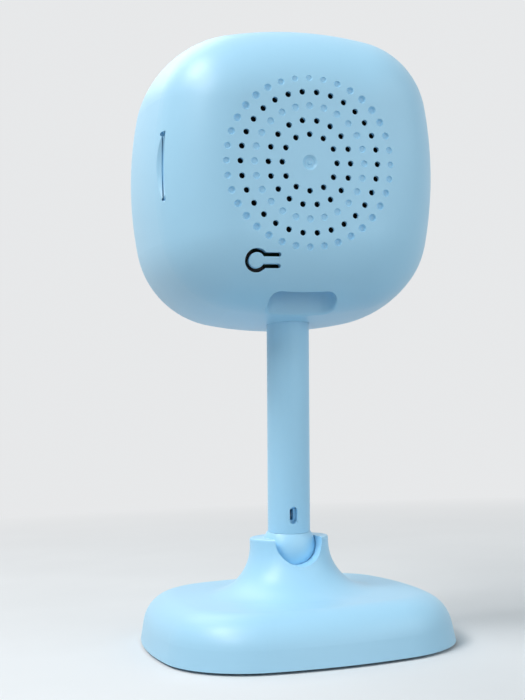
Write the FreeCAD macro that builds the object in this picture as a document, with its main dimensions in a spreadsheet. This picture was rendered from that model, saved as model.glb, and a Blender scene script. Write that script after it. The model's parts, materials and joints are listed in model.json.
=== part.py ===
import FreeCAD, Part
import math
import os
import Sketcher

# Indoor security camera: a pebble-shaped head on a stem that ends in a ball, held by the collar of a
# weighted base. Millimetres, +Z up, origin at the centre of the underside of the base's rubber pad.
# The back of the head, with the speaker grille, faces +Y and the lens faces -Y.
# The head and the stem are laid out upright, on the stem's axis, and then posed about the ball.

SHEET = "Dims"

SIZES = {
    # pose of the head: leaned towards the collar's notch, and turned about the stem
    "lean_angle": 6.4,
    "twist_angle": -5.5,
    # clearances
    "fit_gap": 0.05,
    "slip_gap": 0.15,
    # head: outline seen from behind, and its section from the flat back to the front
    "head_half": 30.5,
    "head_side_radius": 75.5,
    "head_corner_radius": 18.7,
    "head_height": 93.0,
    "head_thickness": 36.5,
    "stem_to_back": 19.35,
    "back_round": 15.0,
    "flank_slope": 14.5,
    "widest_depth": 33.5,
    "front_round": 2.5,
    "head_wall": 2.0,
    "parting_depth": 32.0,
    # front bezel and window
    "bezel_rim": 3.7,
    "window_thickness": 1.5,
    "ledge_width": 1.8,
    "ledge_thickness": 1.2,
    "lip_length": 2.0,
    "lip_thickness": 1.0,
    "led_post_inset": 1.24,
    "led_post_radius": 2.2,
    # speaker grille: rings of holes at whole multiples of one pitch
    "grille_rise": 0.5,
    "grille_pitch": 2.6,
    "grille_hole_radius": 0.55,
    "grille_wall": 0.9,
    "dimple_floor_radius": 0.5,
    "dimple_depth": 0.32,
    "outer_dimple_floor_radius": 0.44,
    "outer_dimple_depth": 0.55,
    "dimple_taper": 28.0,
    "dish_radius": 1.4,
    "dish_depth": 0.5,
    "dish_nipple_radius": 0.45,
    # reset key
    "key_x": 9.9,
    "key_rise": 13.0,
    "key_radius": 1.45,
    "key_slit": 0.75,
    "key_arm_half": 0.68,
    "key_arm_length": 4.15,
    "key_thickness": 1.2,
    "key_root_gap": 0.03,
    "key_chamfer": 0.22,
    "plunger_gap": 0.25,
    "switch_bore": 1.0,
    "switch_depth": 3.0,
    "switch_clearance": 0.15,
    # recess for the power plug, and the power socket
    "recess_half_width": 6.6,
    "recess_half_depth": 3.2,
    "recess_y": 12.1,
    "recess_corner": 2.3,
    "recess_rise": 10.5,
    "recess_round_near": 0.6,
    "recess_round_far": 0.12,
    "recess_wall": 1.2,
    "socket_width": 7.6,
    "socket_depth": 2.7,
    "socket_length": 5.4,
    # card slot, its thumb scoop and the card socket
    "card_slot_length": 13.0,
    "card_slot_width": 0.85,
    "card_slot_lead": 0.2,
    "card_groove_width": 0.25,
    "card_groove_sink": 0.35,
    "card_groove_depth": 1.3,
    "card_hole_radius": 0.45,
    "card_nick_radius": 0.28,
    "scoop_radius": 19.0,
    "scoop_depth": 1.35,
    "scoop_angle": 60.0,
    "card_socket_length": 13.6,
    "card_socket_width": 14.6,
    "card_socket_thickness": 1.5,
    "card_socket_wall": 0.25,
    "card_mouth_inset": 7.9,
    # stem
    "stem_radius": 4.3,
    "stem_bore": 3.0,
    "stem_clearance": 9.0,
    "boss_radius": 6.3,
    "window_width": 1.55,
    "window_length": 3.45,
    "window_height": 25.6,
    "latch_share": 0.4,
    "plug_length": 11.0,
    "spigot_radius": 2.15,
    "spigot_length": 4.3,
    "anchor_flange": 1.6,
    "anchor_length": 8.0,
    "anchor_screw_x": 5.3,
    "anchor_screw_radius": 0.45,
    # ball and socket
    "ball_radius": 5.5,
    "ball_height": 18.4,
    "rim_rise": 2.25,
    "collar_radius": 8.0,
    "collar_round": 0.4,
    "notch_half": 4.85,
    "notch_drop": 3.05,
    "seat_thickness": 1.1,
    "seat_angle": 42.0,
    "seat_bore": 6.9,
    "seat_opening": 2.4,
    "seat_step": 14.85,
    "spring_thickness": 0.5,
    "spring_inner": 3.6,
    "spring_rise": 1.5,
    "spring_gap": 0.4,
    "retainer_radius": 10.6,
    "retainer_thickness": 1.6,
    "retainer_screw_circle": 8.8,
    # base
    "base_gap": 0.5,
    "base_half": 29.85,
    "base_side_radius": 78.0,
    "base_corner_radius": 18.6,
    "base_top": 9.7,
    "base_slope": 10.3,
    "shoulder_round": 6.8,
    "neck_round": 9.6,
    "base_wall": 2.0,
    "base_post_inset": 11.25,
    "base_post_radius": 2.4,
    "plate_thickness": 2.2,
    "plate_gap": 0.2,
    "pad_inset": 4.85,
    "pad_thickness": 1.0,
    "ballast_inset": 9.35,
    "ballast_bore": 11.6,
    "ballast_thickness": 3.4,
    # screws
    "screw_radius": 0.95,
    "screw_head_radius": 1.8,
    "screw_head_height": 1.1,
    "pilot_depth": 4.5,
    # boards
    "board_back": 10.85,
    "board_thickness": 1.2,
    "board_edge_gap": 5.0,
    "board_post_offset": 15.0,
    "board_post_radius": 2.2,
    "led_board_edge_gap": 1.9,
    "led_board_thickness": 1.0,
    "led_board_gap": 3.25,
    "led_circle": 15.5,
    "hood_radius": 9.0,
    "antenna_back": -5.5,
    "antenna_length": 4.8,
    "antenna_half": 11.0,
    "antenna_gap": 0.6,
    # parts on the main board, the plate that cools them, and the cable
    "chip_side": 9.0,
    "chip_thickness": 1.2,
    "chip_x": 7.4,
    "chip_rise": 13.5,
    "thermal_side": 8.0,
    "thermal_thickness": 1.0,
    "spreader_thickness": 1.0,
    "flash_width": 5.0,
    "flash_height": 6.0,
    "flash_thickness": 1.0,
    "flash_x": 13.5,
    "flash_drop": 5.0,
    "can_x": 8.0,
    "can_thickness": 2.0,
    "sensor_width": 8.0,
    "sensor_height": 7.0,
    "sensor_thickness": 1.0,
    "connector_width": 2.4,
    "connector_length": 10.0,
    "connector_height": 1.4,
    "ribbon_edge_gap": 2.5,
    "ribbon_drop": 2.0,
    "ribbon_width": 8.0,
    "ribbon_thickness": 0.3,
    "ribbon_bulge": 1.6,
    # speaker
    "speaker_radius": 15.2,
    "speaker_rim": 13.9,
    "speaker_flange": 1.2,
    "speaker_depth": 4.6,
    "gasket_thickness": 0.5,
    "magnet_radius": 7.5,
    "magnet_thickness": 1.4,
    "cone_gap": 0.25,
    # lens
    "holder_width": 20.0,
    "holder_height": 15.0,
    "holder_length": 9.0,
    "barrel_radius": 5.95,
    "barrel_head_radius": 7.2,
    "barrel_front": 13.2,
    "holder_tube": 6.0,
    # day and night filter
    "filter_pitch": 6.0,
    "filter_thickness": 1.4,
    "filter_length": 13.6,
    "filter_half_height": 3.8,
    "filter_front": 3.7,
    "filter_glass_radius": 2.55,
    "rotor_drop": 11.0,
    "rotor_arm": 6.0,
    "rotor_radius": 2.5,
    "rotor_swing": 28.65,
}


class Size:
    """A length or an angle, with the spreadsheet formula that gives it."""

    def __init__(self, value, formula):
        self.value = value
        self.formula = formula

    def __add__(self, other):
        other = as_size(other)
        return Size(self.value + other.value, f"({self.formula} + {other.formula})")

    def __sub__(self, other):
        other = as_size(other)
        return Size(self.value - other.value, f"({self.formula} - {other.formula})")

    def __mul__(self, other):
        other = as_size(other)
        return Size(self.value * other.value, f"({self.formula} * {other.formula})")

    def __truediv__(self, other):
        other = as_size(other)
        return Size(self.value / other.value, f"({self.formula} / {other.formula})")

    def __neg__(self):
        return Size(-self.value, f"(-1 * {self.formula})")

    __radd__ = __add__
    __rmul__ = __mul__

    def __rsub__(self, other):
        return as_size(other) - self


def as_size(number):
    return number if isinstance(number, Size) else Size(float(number), f"{number:g}")


def root(size):
    return Size(math.sqrt(size.value), f"sqrt({size.formula})")


def sine(angle):
    return Size(math.sin(math.radians(angle.value)), f"sin({angle.formula})")


def cosine(angle):
    return Size(math.cos(math.radians(angle.value)), f"cos({angle.formula})")


def tangent(angle):
    return Size(math.tan(math.radians(angle.value)), f"tan({angle.formula})")


def corner_centre(half, side_radius, corner_radius):
    """How far out along each axis a squircle's corner arcs have their centres."""
    reach = side_radius - half
    bend = side_radius - corner_radius
    return (root(2 * bend * bend - reach * reach) - reach) / 2


def corner_reach(half, side_radius, corner_radius):
    """How far out along each axis the middle of a squircle's corner lies."""
    return corner_centre(half, side_radius, corner_radius) + corner_radius / math.sqrt(2)


class Dimensions:
    """The spreadsheet's cells by name."""

    def __getattr__(self, name):
        return Size(SIZES[name], f"{SHEET}.{name}")


D = Dimensions()


def fill_sheet(doc):
    sheet = doc.addObject("Spreadsheet::Sheet", SHEET)
    for row, (name, value) in enumerate(SIZES.items(), start=1):
        sheet.set(f"A{row}", name)
        sheet.set(f"B{row}", str(value))
        sheet.setAlias(f"B{row}", name)
    doc.recompute()


# ---------------------------------------------------------------- derived sizes

HEAD_Z = D.head_height
BACK_Y = D.stem_to_back
FRONT_Y = D.stem_to_back - D.head_thickness
PARTING_Y = D.stem_to_back - D.parting_depth
FLANK_SINE = sine(D.flank_slope)
FLANK_RADIUS = (D.widest_depth - D.back_round * (1 - FLANK_SINE)) / FLANK_SINE
BACK_INSET = FLANK_RADIUS * (1 - cosine(D.flank_slope)) + D.back_round * cosine(D.flank_slope)
CORE_HALF = D.head_half - BACK_INSET
INNER_BACK_Y = BACK_Y - D.head_wall
GRILLE_Z = HEAD_Z + D.grille_rise
SEAM_RISE = root(D.ball_radius * D.ball_radius - D.stem_radius * D.stem_radius)
SEAM_Z = D.ball_height + SEAM_RISE
SOCKET_RADIUS = D.ball_radius + D.fit_gap
BOARD_FRONT = D.board_back - D.board_thickness
LEDGE_Y = FRONT_Y + D.window_thickness + D.ledge_thickness
LED_BOARD_BACK = LEDGE_Y + D.led_board_gap
LED_BOARD_FRONT = LED_BOARD_BACK - D.led_board_thickness
INNER_TOP = D.base_top - D.base_wall
PLATE_TOP = D.base_gap + D.plate_thickness
KEY_Z = HEAD_Z - D.head_half + D.key_rise
PIVOT_Z = HEAD_Z - D.rotor_drop
STEM_TOP = PIVOT_Z - D.stem_clearance
RECESS_TOP = HEAD_Z - D.head_half + D.recess_rise
WINDOW_HALF = D.head_half - D.bezel_rim
BOARD_HALF = D.head_half - D.head_wall - D.board_edge_gap
LED_BOARD_INSET = D.head_wall + D.led_board_edge_gap
LED_BOARD_HALF = D.head_half - LED_BOARD_INSET
LED_POST = corner_reach(LED_BOARD_HALF, D.head_side_radius - LED_BOARD_INSET,
                        D.head_corner_radius - LED_BOARD_INSET) - D.led_post_inset
CARD_MOUTH = D.head_half - D.card_mouth_inset
SOCKET_Y = D.board_back + D.socket_depth / 2
BASE_POST = D.base_half - D.base_post_inset


# ---------------------------------------------------------------- sketches

def plane_of(body, role):
    for feature in body.Origin.OriginFeatures:
        if feature.Role == role:
            return feature
    raise ValueError(role)


def new_body(doc, label):
    body = doc.addObject("PartDesign::Body", label)
    body.Label = label
    return body


def new_sketch(body, name, role, level=0):
    """A sketch on one of the body's planes, moved to a level along the world axis normal to it."""
    sketch = body.newObject("Sketcher::SketchObject", name)
    sketch.AttachmentSupport = (plane_of(body, role), [""])
    sketch.MapMode = "FlatFace"
    offset = as_size(level)
    if role == "XZ_Plane":
        offset = -offset
    sketch.AttachmentOffset = FreeCAD.Placement(
        FreeCAD.Vector(0, 0, offset.value), FreeCAD.Rotation())
    sketch.setExpression("AttachmentOffset.Base.z", offset.formula)
    return sketch


def constrain(sketch, size, kind, *places):
    index = sketch.addConstraint(Sketcher.Constraint(kind, *places, size.value))
    sketch.setExpression(f"Constraints[{index}]", size.formula)


def pin_point(sketch, geometry, place, x, y):
    """Fixes one point of a piece of geometry at x, y."""
    for kind, axis, size in (("DistanceX", -2, as_size(x)), ("DistanceY", -1, as_size(y))):
        if size.value == 0:
            sketch.addConstraint(Sketcher.Constraint("PointOnObject", geometry, place, axis))
        else:
            constrain(sketch, size, kind, -1, 1, geometry, place)


def circle(sketch, radius, x=0, y=0):
    radius, x, y = as_size(radius), as_size(x), as_size(y)
    centre = FreeCAD.Vector(x.value, y.value, 0)
    index = sketch.addGeometry(Part.Circle(centre, FreeCAD.Vector(0, 0, 1), radius.value), False)
    constrain(sketch, radius, "Radius", index)
    pin_point(sketch, index, 3, x, y)


def arc_between(start, end, radius, side):
    """The arc of less than half a turn from start to end; side +1 turns left, -1 turns right."""
    chord = end - start
    middle = (start + end) * 0.5
    height = math.sqrt(max(radius ** 2 - chord.Length ** 2 / 4, 0))
    normal = FreeCAD.Vector(-chord.y, chord.x, 0).normalize()
    centre = middle + normal * (height * side)
    first, last = (start, end) if side > 0 else (end, start)
    from_angle = math.atan2(first.y - centre.y, first.x - centre.x)
    to_angle = math.atan2(last.y - centre.y, last.x - centre.x)
    if to_angle < from_angle:
        to_angle += 2 * math.pi
    ring = Part.Circle(centre, FreeCAD.Vector(0, 0, 1), radius)
    return Part.ArcOfCircle(ring, from_angle, to_angle)


def outline(sketch, corners):
    """A closed outline. Each corner is (x, y) or (x, y, radius, side), whose edge to the next corner
    is an arc of that radius."""
    points = [FreeCAD.Vector(as_size(c[0]).value, as_size(c[1]).value, 0) for c in corners]
    edges = []
    for index, corner in enumerate(corners):
        start = points[index]
        end = points[(index + 1) % len(points)]
        if len(corner) == 2:
            edges.append((sketch.addGeometry(Part.LineSegment(start, end), False), 1, 2))
            continue
        radius, side = as_size(corner[2]), corner[3]
        number = sketch.addGeometry(arc_between(start, end, radius.value, side), False)
        edges.append((number, 1, 2) if side > 0 else (number, 2, 1))
        constrain(sketch, radius, "Radius", number)
    for index, (number, first, last) in enumerate(edges):
        following = edges[(index + 1) % len(edges)]
        sketch.addConstraint(
            Sketcher.Constraint("Coincident", number, last, following[0], following[1]))
        pin_point(sketch, number, first, corners[index][0], corners[index][1])


def rectangle(sketch, width, height, x=0, y=0):
    half_width = as_size(width) / 2
    half_height = as_size(height) / 2
    outline(sketch, [
        (x - half_width, y - half_height),
        (x + half_width, y - half_height),
        (x + half_width, y + half_height),
        (x - half_width, y + half_height),
    ])


def rounded_box(sketch, half_width, half_height, corner, x=0, y=0):
    """A rectangle with round corners."""
    left, right = x - half_width, x + half_width
    low, high = y - half_height, y + half_height
    outline(sketch, [
        (left + corner, low),
        (right - corner, low, corner, 1),
        (right, low + corner),
        (right, high - corner, corner, 1),
        (right - corner, high),
        (left + corner, high, corner, 1),
        (left, high - corner),
        (left, low + corner, corner, 1),
    ])


def squircle(sketch, half, side_radius, corner_radius, y=0):
    """A square of eight tangent arcs: four bulged sides and four round corners."""
    reach = side_radius - half
    corner = corner_centre(half, side_radius, corner_radius)
    side_turn = math.atan2(corner.value, corner.value + reach.value)
    centres = [(-reach, 0), (corner, corner), (0, -reach), (-corner, corner),
               (reach, 0), (-corner, -corner), (0, reach), (corner, -corner)]
    arcs = []
    for index, (across, up) in enumerate(centres):
        is_side = index % 2 == 0
        radius = side_radius if is_side else corner_radius
        half_turn = side_turn if is_side else math.pi / 4 - side_turn
        heading = index * math.pi / 4
        centre = FreeCAD.Vector(as_size(across).value, as_size(up + y).value, 0)
        ring = Part.Circle(centre, FreeCAD.Vector(0, 0, 1), radius.value)
        arc = Part.ArcOfCircle(ring, heading - half_turn, heading + half_turn)
        arcs.append(sketch.addGeometry(arc, False))
    for index, arc in enumerate(arcs):
        sketch.addConstraint(Sketcher.Constraint("Tangent", arc, 2, arcs[(index + 1) % 8], 1))
        if index > 1:
            sketch.addConstraint(Sketcher.Constraint("Equal", arcs[index % 2], arc))
        else:
            constrain(sketch, side_radius if index == 0 else corner_radius, "Radius", arc)
    for index in (0, 2, 4, 6):
        across, up = centres[index]
        pin_point(sketch, arcs[index], 3, across, up + y)


# ---------------------------------------------------------------- features

def pad(body, sketch, length, reverse=False, taper=None):
    feature = body.newObject("PartDesign::Pad", sketch.Name + "_pad")
    feature.Profile = sketch
    feature.Length = as_size(length).value
    feature.setExpression("Length", as_size(length).formula)
    feature.Reversed = reverse
    if taper:
        feature.TaperAngle = taper.value
        feature.setExpression("TaperAngle", taper.formula)
    sketch.Document.recompute()
    return feature


def pocket(body, sketch, length=None, reverse=False):
    """Cuts the sketch into the body, on the side a pad does not go to unless reversed.
    With no length it cuts right through."""
    before = body.Tip.Shape.Volume
    feature = body.newObject("PartDesign::Pocket", sketch.Name + "_pocket")
    feature.Profile = sketch
    if length is None:
        feature.Type = "ThroughAll"
    else:
        feature.Length = as_size(length).value
        feature.setExpression("Length", as_size(length).formula)
    feature.Reversed = reverse
    sketch.Document.recompute()
    if feature.Shape.Volume > before - 1e-6:
        raise ValueError(f"{feature.Name} cuts nothing")
    return feature


def turn(body, sketch, axis="V_Axis"):
    feature = body.newObject("PartDesign::Revolution", sketch.Name + "_turn")
    feature.Profile = sketch
    feature.ReferenceAxis = (sketch, [axis])
    feature.Angle = 360
    sketch.Document.recompute()
    return feature


def sweep(body, profile, spine):
    feature = body.newObject("PartDesign::AdditivePipe", profile.Name + "_sweep")
    feature.Profile = profile
    feature.Spine = spine
    profile.Document.recompute()
    return feature


def cut(doc, label, base, tool):
    feature = doc.addObject("Part::Cut", label)
    feature.Label = label
    feature.Base = base
    feature.Tool = tool
    doc.recompute()
    return feature


def overlap(doc, label, shapes):
    feature = doc.addObject("Part::MultiCommon", label)
    feature.Label = label
    feature.Shapes = shapes
    doc.recompute()
    return feature


# ---------------------------------------------------------------- poses

def placement_formula(offset, axis, angle):
    x, y, z = (as_size(value).formula for value in offset)
    turn_axis = "; ".join(str(value) for value in axis)
    return (f"create(<<placement>>; create(<<vector>>; {x}; {y}; {z}); "
            f"create(<<rotation>>; create(<<vector>>; {turn_axis}); {as_size(angle).formula}))")


TO_BALL = placement_formula((0, 0, D.ball_height), (1, 0, 0), -D.lean_angle)
TWIST = placement_formula((0, 0, 0), (0, 0, 1), D.twist_angle)
FROM_BALL = placement_formula((0, 0, -D.ball_height), (0, 0, 1), 0)
HEAD_POSE = f"{TO_BALL} * {TWIST} * {FROM_BALL}"
BALL_POSE = f"{TO_BALL} * {FROM_BALL}"


def pose(piece, formula):
    piece.setExpression("Placement", formula)
    return piece


def block(doc, label, centre_x, back_y, centre_z, width, thickness, height):
    """A box of the head, given by the middle of its back face."""
    width, thickness, height = as_size(width), as_size(thickness), as_size(height)
    piece = doc.addObject("Part::Box", label)
    piece.Label = label
    for name, size in (("Length", width), ("Width", thickness), ("Height", height)):
        piece.setExpression(name, size.formula)
    corner = (centre_x - width / 2, back_y - thickness, centre_z - height / 2)
    return pose(piece, f"{HEAD_POSE} * {placement_formula(corner, (1, 0, 0), 0)}")


# ---------------------------------------------------------------- head shells

def pebble(doc, label, inset, front_y):
    """The head's outer form, or a parallel form inside it, cut off flat at front_y."""
    inset = as_size(inset)
    body = new_body(doc, label)
    spine = new_sketch(body, label + "_spine", "XZ_Plane")
    squircle(spine, D.head_half, D.head_side_radius, D.head_corner_radius, HEAD_Z)
    radius = FLANK_RADIUS - inset
    centre_x = D.head_half - FLANK_RADIUS
    centre_y = BACK_Y - D.widest_depth
    front_x = centre_x + root(radius * radius - (front_y - centre_y) * (front_y - centre_y))
    profile = new_sketch(body, label + "_profile", "XY_Plane", HEAD_Z)
    outline(profile, [
        (CORE_HALF, front_y),
        (front_x, front_y, radius, 1),
        (centre_x + radius * cosine(D.flank_slope), centre_y + radius * FLANK_SINE,
         D.back_round - inset, 1),
        (CORE_HALF, BACK_Y - inset),
    ])
    sweep(body, profile, spine)
    core = new_sketch(body, label + "_core", "XZ_Plane", BACK_Y - inset)
    squircle(core, CORE_HALF, D.head_side_radius - BACK_INSET,
             D.head_corner_radius - BACK_INSET, HEAD_Z)
    pad(body, core, BACK_Y - inset - front_y)
    return body


def shell_bosses(doc):
    """What stands inside the rear shell: posts, stem boss, recess sleeve and speaker ring."""
    body = new_body(doc, "shell_bosses")
    posts = new_sketch(body, "posts", "XZ_Plane", BACK_Y)
    for x in (-D.board_post_offset, D.board_post_offset):
        for z in (-D.board_post_offset, D.board_post_offset):
            circle(posts, D.board_post_radius, x, HEAD_Z + z)
    pad(body, posts, BACK_Y - D.board_back)
    ring = new_sketch(body, "speaker_ring", "XZ_Plane", BACK_Y)
    circle(ring, D.speaker_radius + D.slip_gap + 1, 0, GRILLE_Z)
    circle(ring, D.speaker_radius, 0, GRILLE_Z)
    pad(body, ring, D.head_wall + D.gasket_thickness + D.speaker_flange)
    boss = new_sketch(body, "stem_boss", "XY_Plane", STEM_TOP)
    circle(boss, D.boss_radius)
    pad(body, boss, STEM_TOP - HEAD_Z + D.head_half, reverse=True)
    sleeve = new_sketch(body, "recess_sleeve", "XY_Plane", RECESS_TOP + D.recess_wall)
    rounded_box(sleeve, D.recess_half_width + D.recess_wall,
                D.recess_half_depth + D.recess_wall, D.recess_corner + D.recess_wall,
                0, D.recess_y)
    pad(body, sleeve, RECESS_TOP + D.recess_wall - HEAD_Z + D.head_half, reverse=True)
    return body


def ring_of_circles(sketch, ring, turned, radius):
    """One ring of the grille: six circles for each pitch of its radius."""
    count = 6 * ring
    for index in range(count):
        angle = math.pi / 2 - 2 * math.pi * (index + turned / 2) / count
        x = D.grille_pitch * ring * round(math.cos(angle), 9)
        z = D.grille_pitch * ring * round(math.sin(angle), 9)
        circle(sketch, radius, x, GRILLE_Z + z)


def grille_cutter(doc):
    """Holes and tapered dimples, and the dish in the middle with its nipple."""
    body = new_body(doc, "grille_cutter")
    for ring, turned in ((2, 0), (3, 1), (5, 1)):
        holes = new_sketch(body, f"grille_holes_{ring}", "XZ_Plane", BACK_Y)
        ring_of_circles(holes, ring, turned, D.grille_hole_radius)
        pad(body, holes, D.head_wall + 1)
    # The outermost dimples go deeper, since the back has begun to round off there.
    for ring, depth, floor_radius in (
            (4, D.dimple_depth, D.dimple_floor_radius),
            (6, D.outer_dimple_depth, D.outer_dimple_floor_radius)):
        dimples = new_sketch(body, f"grille_dimples_{ring}", "XZ_Plane", BACK_Y - depth)
        ring_of_circles(dimples, ring, 0, floor_radius)
        pad(body, dimples, depth + 0.3, reverse=True, taper=D.dimple_taper)
    dish = new_sketch(body, "grille_dish", "XY_Plane", GRILLE_Z)
    floor_y = BACK_Y - D.dish_depth
    outline(dish, [
        (0, floor_y + D.dish_depth / 2),
        (D.dish_nipple_radius / 2, floor_y + D.dish_depth / 2),
        (D.dish_nipple_radius, floor_y),
        (D.dish_radius - D.dish_depth, floor_y),
        (D.dish_radius, BACK_Y),
        (0, BACK_Y),
    ])
    turn(body, dish)
    return body


def key_outline(sketch, radius, arm_half, root_x):
    """A disc with a straight arm to the camera's middle, ending at root_x."""
    reach = root(radius * radius - arm_half * arm_half)
    outline(sketch, [
        (root_x, KEY_Z - arm_half),
        (root_x, KEY_Z + arm_half),
        (D.key_x - reach, KEY_Z + arm_half, radius, -1),
        (D.key_x, KEY_Z + radius, radius, -1),
        (D.key_x + radius, KEY_Z, radius, -1),
        (D.key_x, KEY_Z - radius, radius, -1),
        (D.key_x - reach, KEY_Z - arm_half),
    ])


def shell_cutter(doc):
    """All the openings of the rear shell except the grille."""
    body = new_body(doc, "shell_cutter")
    key = new_sketch(body, "key_opening", "XZ_Plane", BACK_Y + 1)
    key_outline(key, D.key_radius + D.key_slit, D.key_arm_half + D.key_slit,
                D.key_x - D.key_arm_length)
    pad(body, key, D.head_wall + 4)
    ends = new_sketch(body, "slit_ends", "XZ_Plane", BACK_Y + 1)
    for side in (-1, 1):
        circle(ends, D.key_slit / 2, D.key_x - D.key_arm_length,
               KEY_Z + side * (D.key_arm_half + D.key_slit / 2))
    pad(body, ends, D.head_wall + 4)
    relief = new_sketch(body, "grille_relief", "XZ_Plane", BACK_Y - D.grille_wall)
    circle(relief, D.speaker_rim, 0, GRILLE_Z)
    pad(body, relief, D.head_wall - D.grille_wall + D.gasket_thickness)
    seat = new_sketch(body, "speaker_seat", "XZ_Plane", INNER_BACK_Y)
    circle(seat, D.speaker_radius + D.slip_gap, 0, GRILLE_Z)
    pad(body, seat, D.gasket_thickness + D.speaker_flange + 0.5)
    recess = new_sketch(body, "recess", "XY_Plane", RECESS_TOP)
    rounded_box(recess, D.recess_half_width, D.recess_half_depth, D.recess_corner,
                0, D.recess_y)
    pad(body, recess, RECESS_TOP - HEAD_Z + D.head_half + 1, reverse=True)
    port = new_sketch(body, "port", "XY_Plane", RECESS_TOP + D.recess_wall + 1)
    rectangle(port, D.socket_width + 2 * D.slip_gap, D.socket_depth + 2 * D.slip_gap,
              0, SOCKET_Y)
    pad(body, port, D.recess_wall + 2, reverse=True)
    stem = new_sketch(body, "stem_hole", "XY_Plane", STEM_TOP + 1)
    circle(stem, D.stem_radius + D.fit_gap)
    pad(body, stem, STEM_TOP - HEAD_Z + D.head_half + 2, reverse=True)
    pilots = new_sketch(body, "pilots", "XZ_Plane", D.board_back + D.pilot_depth)
    for x in (-D.board_post_offset, D.board_post_offset):
        for z in (-D.board_post_offset, D.board_post_offset):
            circle(pilots, D.screw_radius + D.fit_gap, x, HEAD_Z + z)
    pad(body, pilots, D.pilot_depth + 1)
    anchor = new_sketch(body, "anchor_pilots", "XY_Plane", STEM_TOP + 1)
    for x in (-D.anchor_screw_x, D.anchor_screw_x):
        circle(anchor, D.anchor_screw_radius + D.fit_gap, x)
    pad(body, anchor, D.pilot_depth + 1, reverse=True)
    slot = new_sketch(body, "card_slot", "YZ_Plane", CARD_MOUTH)
    rectangle(slot, D.card_slot_width, D.card_slot_length, card_slot_y(), GRILLE_Z)
    pad(body, slot, D.head_half)
    # A groove along the slot's near wall lets a nail catch the card, with a hole at each end.
    near_y = card_slot_y() - D.card_slot_width / 2
    groove_x = flank_x(near_y) - D.card_groove_sink
    groove = new_sketch(body, "card_groove", "XZ_Plane", card_slot_y())
    rectangle(groove, D.card_groove_width, D.card_slot_length, groove_x, GRILLE_Z)
    pad(body, groove, D.card_slot_width / 2 + D.card_groove_depth)
    ends = new_sketch(body, "card_groove_ends", "XZ_Plane", card_slot_y() + D.card_slot_width)
    for radius, side in ((D.card_hole_radius, 1), (D.card_nick_radius, -1)):
        circle(ends, radius, groove_x, GRILLE_Z + side * (D.card_slot_length / 2 - radius))
    pad(body, ends, 1.5 * D.card_slot_width + D.card_groove_depth)
    return body


def card_plane():
    return D.board_back + D.card_socket_thickness / 2


def card_slot_y():
    return card_plane() - D.card_slot_lead


def flank_x(y):
    """How far out the head's back rounding lies at y, half way up the head."""
    lift = y - BACK_Y + D.back_round
    return CORE_HALF + root(D.back_round * D.back_round - lift * lift)


def scoop_cutter(doc):
    """A leaning cylinder that shaves a crescent off the flank in front of the card slot."""
    slot_y = card_slot_y() - D.card_slot_width / 2
    surface_x = flank_x(slot_y)
    normal_x = (surface_x - CORE_HALF) / D.back_round
    normal_y = (slot_y - BACK_Y + D.back_round) / D.back_round
    depth_x = surface_x - D.scoop_depth * normal_x
    depth_y = slot_y - D.scoop_depth * normal_y
    piece = doc.addObject("Part::Cylinder", "scoop_cutter")
    piece.setExpression("Radius", D.scoop_radius.formula)
    piece.setExpression("Height", FLANK_RADIUS.formula)
    centre = (depth_x + D.scoop_radius * cosine(D.scoop_angle),
              depth_y + D.scoop_radius * sine(D.scoop_angle), GRILLE_Z)
    lay = placement_formula(centre, (0, 0, 1), D.scoop_angle - 90)
    tip = placement_formula((0, 0, 0), (0, 1, 0), 90)
    pose(piece, f"{lay} * {tip}")
    return piece


def recess_rim(shape):
    """Numbers and edges where the recess meets the head's outside, round from the nearest."""
    half_width, half_depth = D.recess_half_width.value, D.recess_half_depth.value
    room = FreeCAD.BoundBox(-half_width, D.recess_y.value - half_depth, 0,
                            half_width, D.recess_y.value + half_depth, RECESS_TOP.value - 1)
    room.enlarge(0.01)
    rim = []
    for number, edge in enumerate(shape.Edges, start=1):
        box = edge.BoundBox
        if room.isInside(box) and max(box.XLength, box.YLength) > 0.1:
            rim.append((number, edge))

    def way_round(item):
        centre = item[1].CenterOfMass
        return (math.degrees(math.atan2(centre.y - D.recess_y.value, centre.x)) + 135) % 360
    return sorted(rim, key=way_round)


def round_rim(doc, base):
    """Rounds the recess's rim, widely at its near edge and hardly at its far, sharp one."""
    near_y = D.recess_y - D.recess_half_depth
    growth = (D.recess_round_far - D.recess_round_near) / (2 * D.recess_half_depth)

    def radius_at(vertex):
        return D.recess_round_near.value + growth.value * (vertex.Y - near_y.value)
    feature = doc.addObject("Part::Fillet", "rimmed_shell")
    feature.Base = base
    # The rounding runs round from the first edge, whose radius has to be the same at both ends.
    feature.Edges = [
        (number, radius_at(edge.firstVertex()), radius_at(edge.lastVertex()))
        for number, edge in recess_rim(base.Shape)]
    doc.recompute()
    return feature


def make_rear_shell(doc):
    outer = pebble(doc, "outer_form", 0, PARTING_Y)
    inner = pebble(doc, "inner_form", D.head_wall, PARTING_Y - 1)
    cavity = cut(doc, "cavity", inner, shell_bosses(doc))
    blank = cut(doc, "shell_blank", outer, cavity)
    opened = cut(doc, "opened_shell", blank, shell_cutter(doc))
    scooped = cut(doc, "scooped_shell", round_rim(doc, opened), scoop_cutter(doc))
    return pose(cut(doc, "rear_shell", scooped, grille_cutter(doc)), HEAD_POSE)


def key_rim(shape):
    """Numbers of the edges round the key's outer face, without the one at its root."""
    face = max(shape.Faces, key=lambda candidate: candidate.CenterOfMass.y)
    root_x = (D.key_x - D.key_arm_length + D.key_root_gap).value
    return [number for number, edge in enumerate(shape.Edges, start=1)
            if edge.BoundBox.XMax > root_x + 0.01
            and any(edge.isSame(other) for other in face.Edges)]


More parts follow.
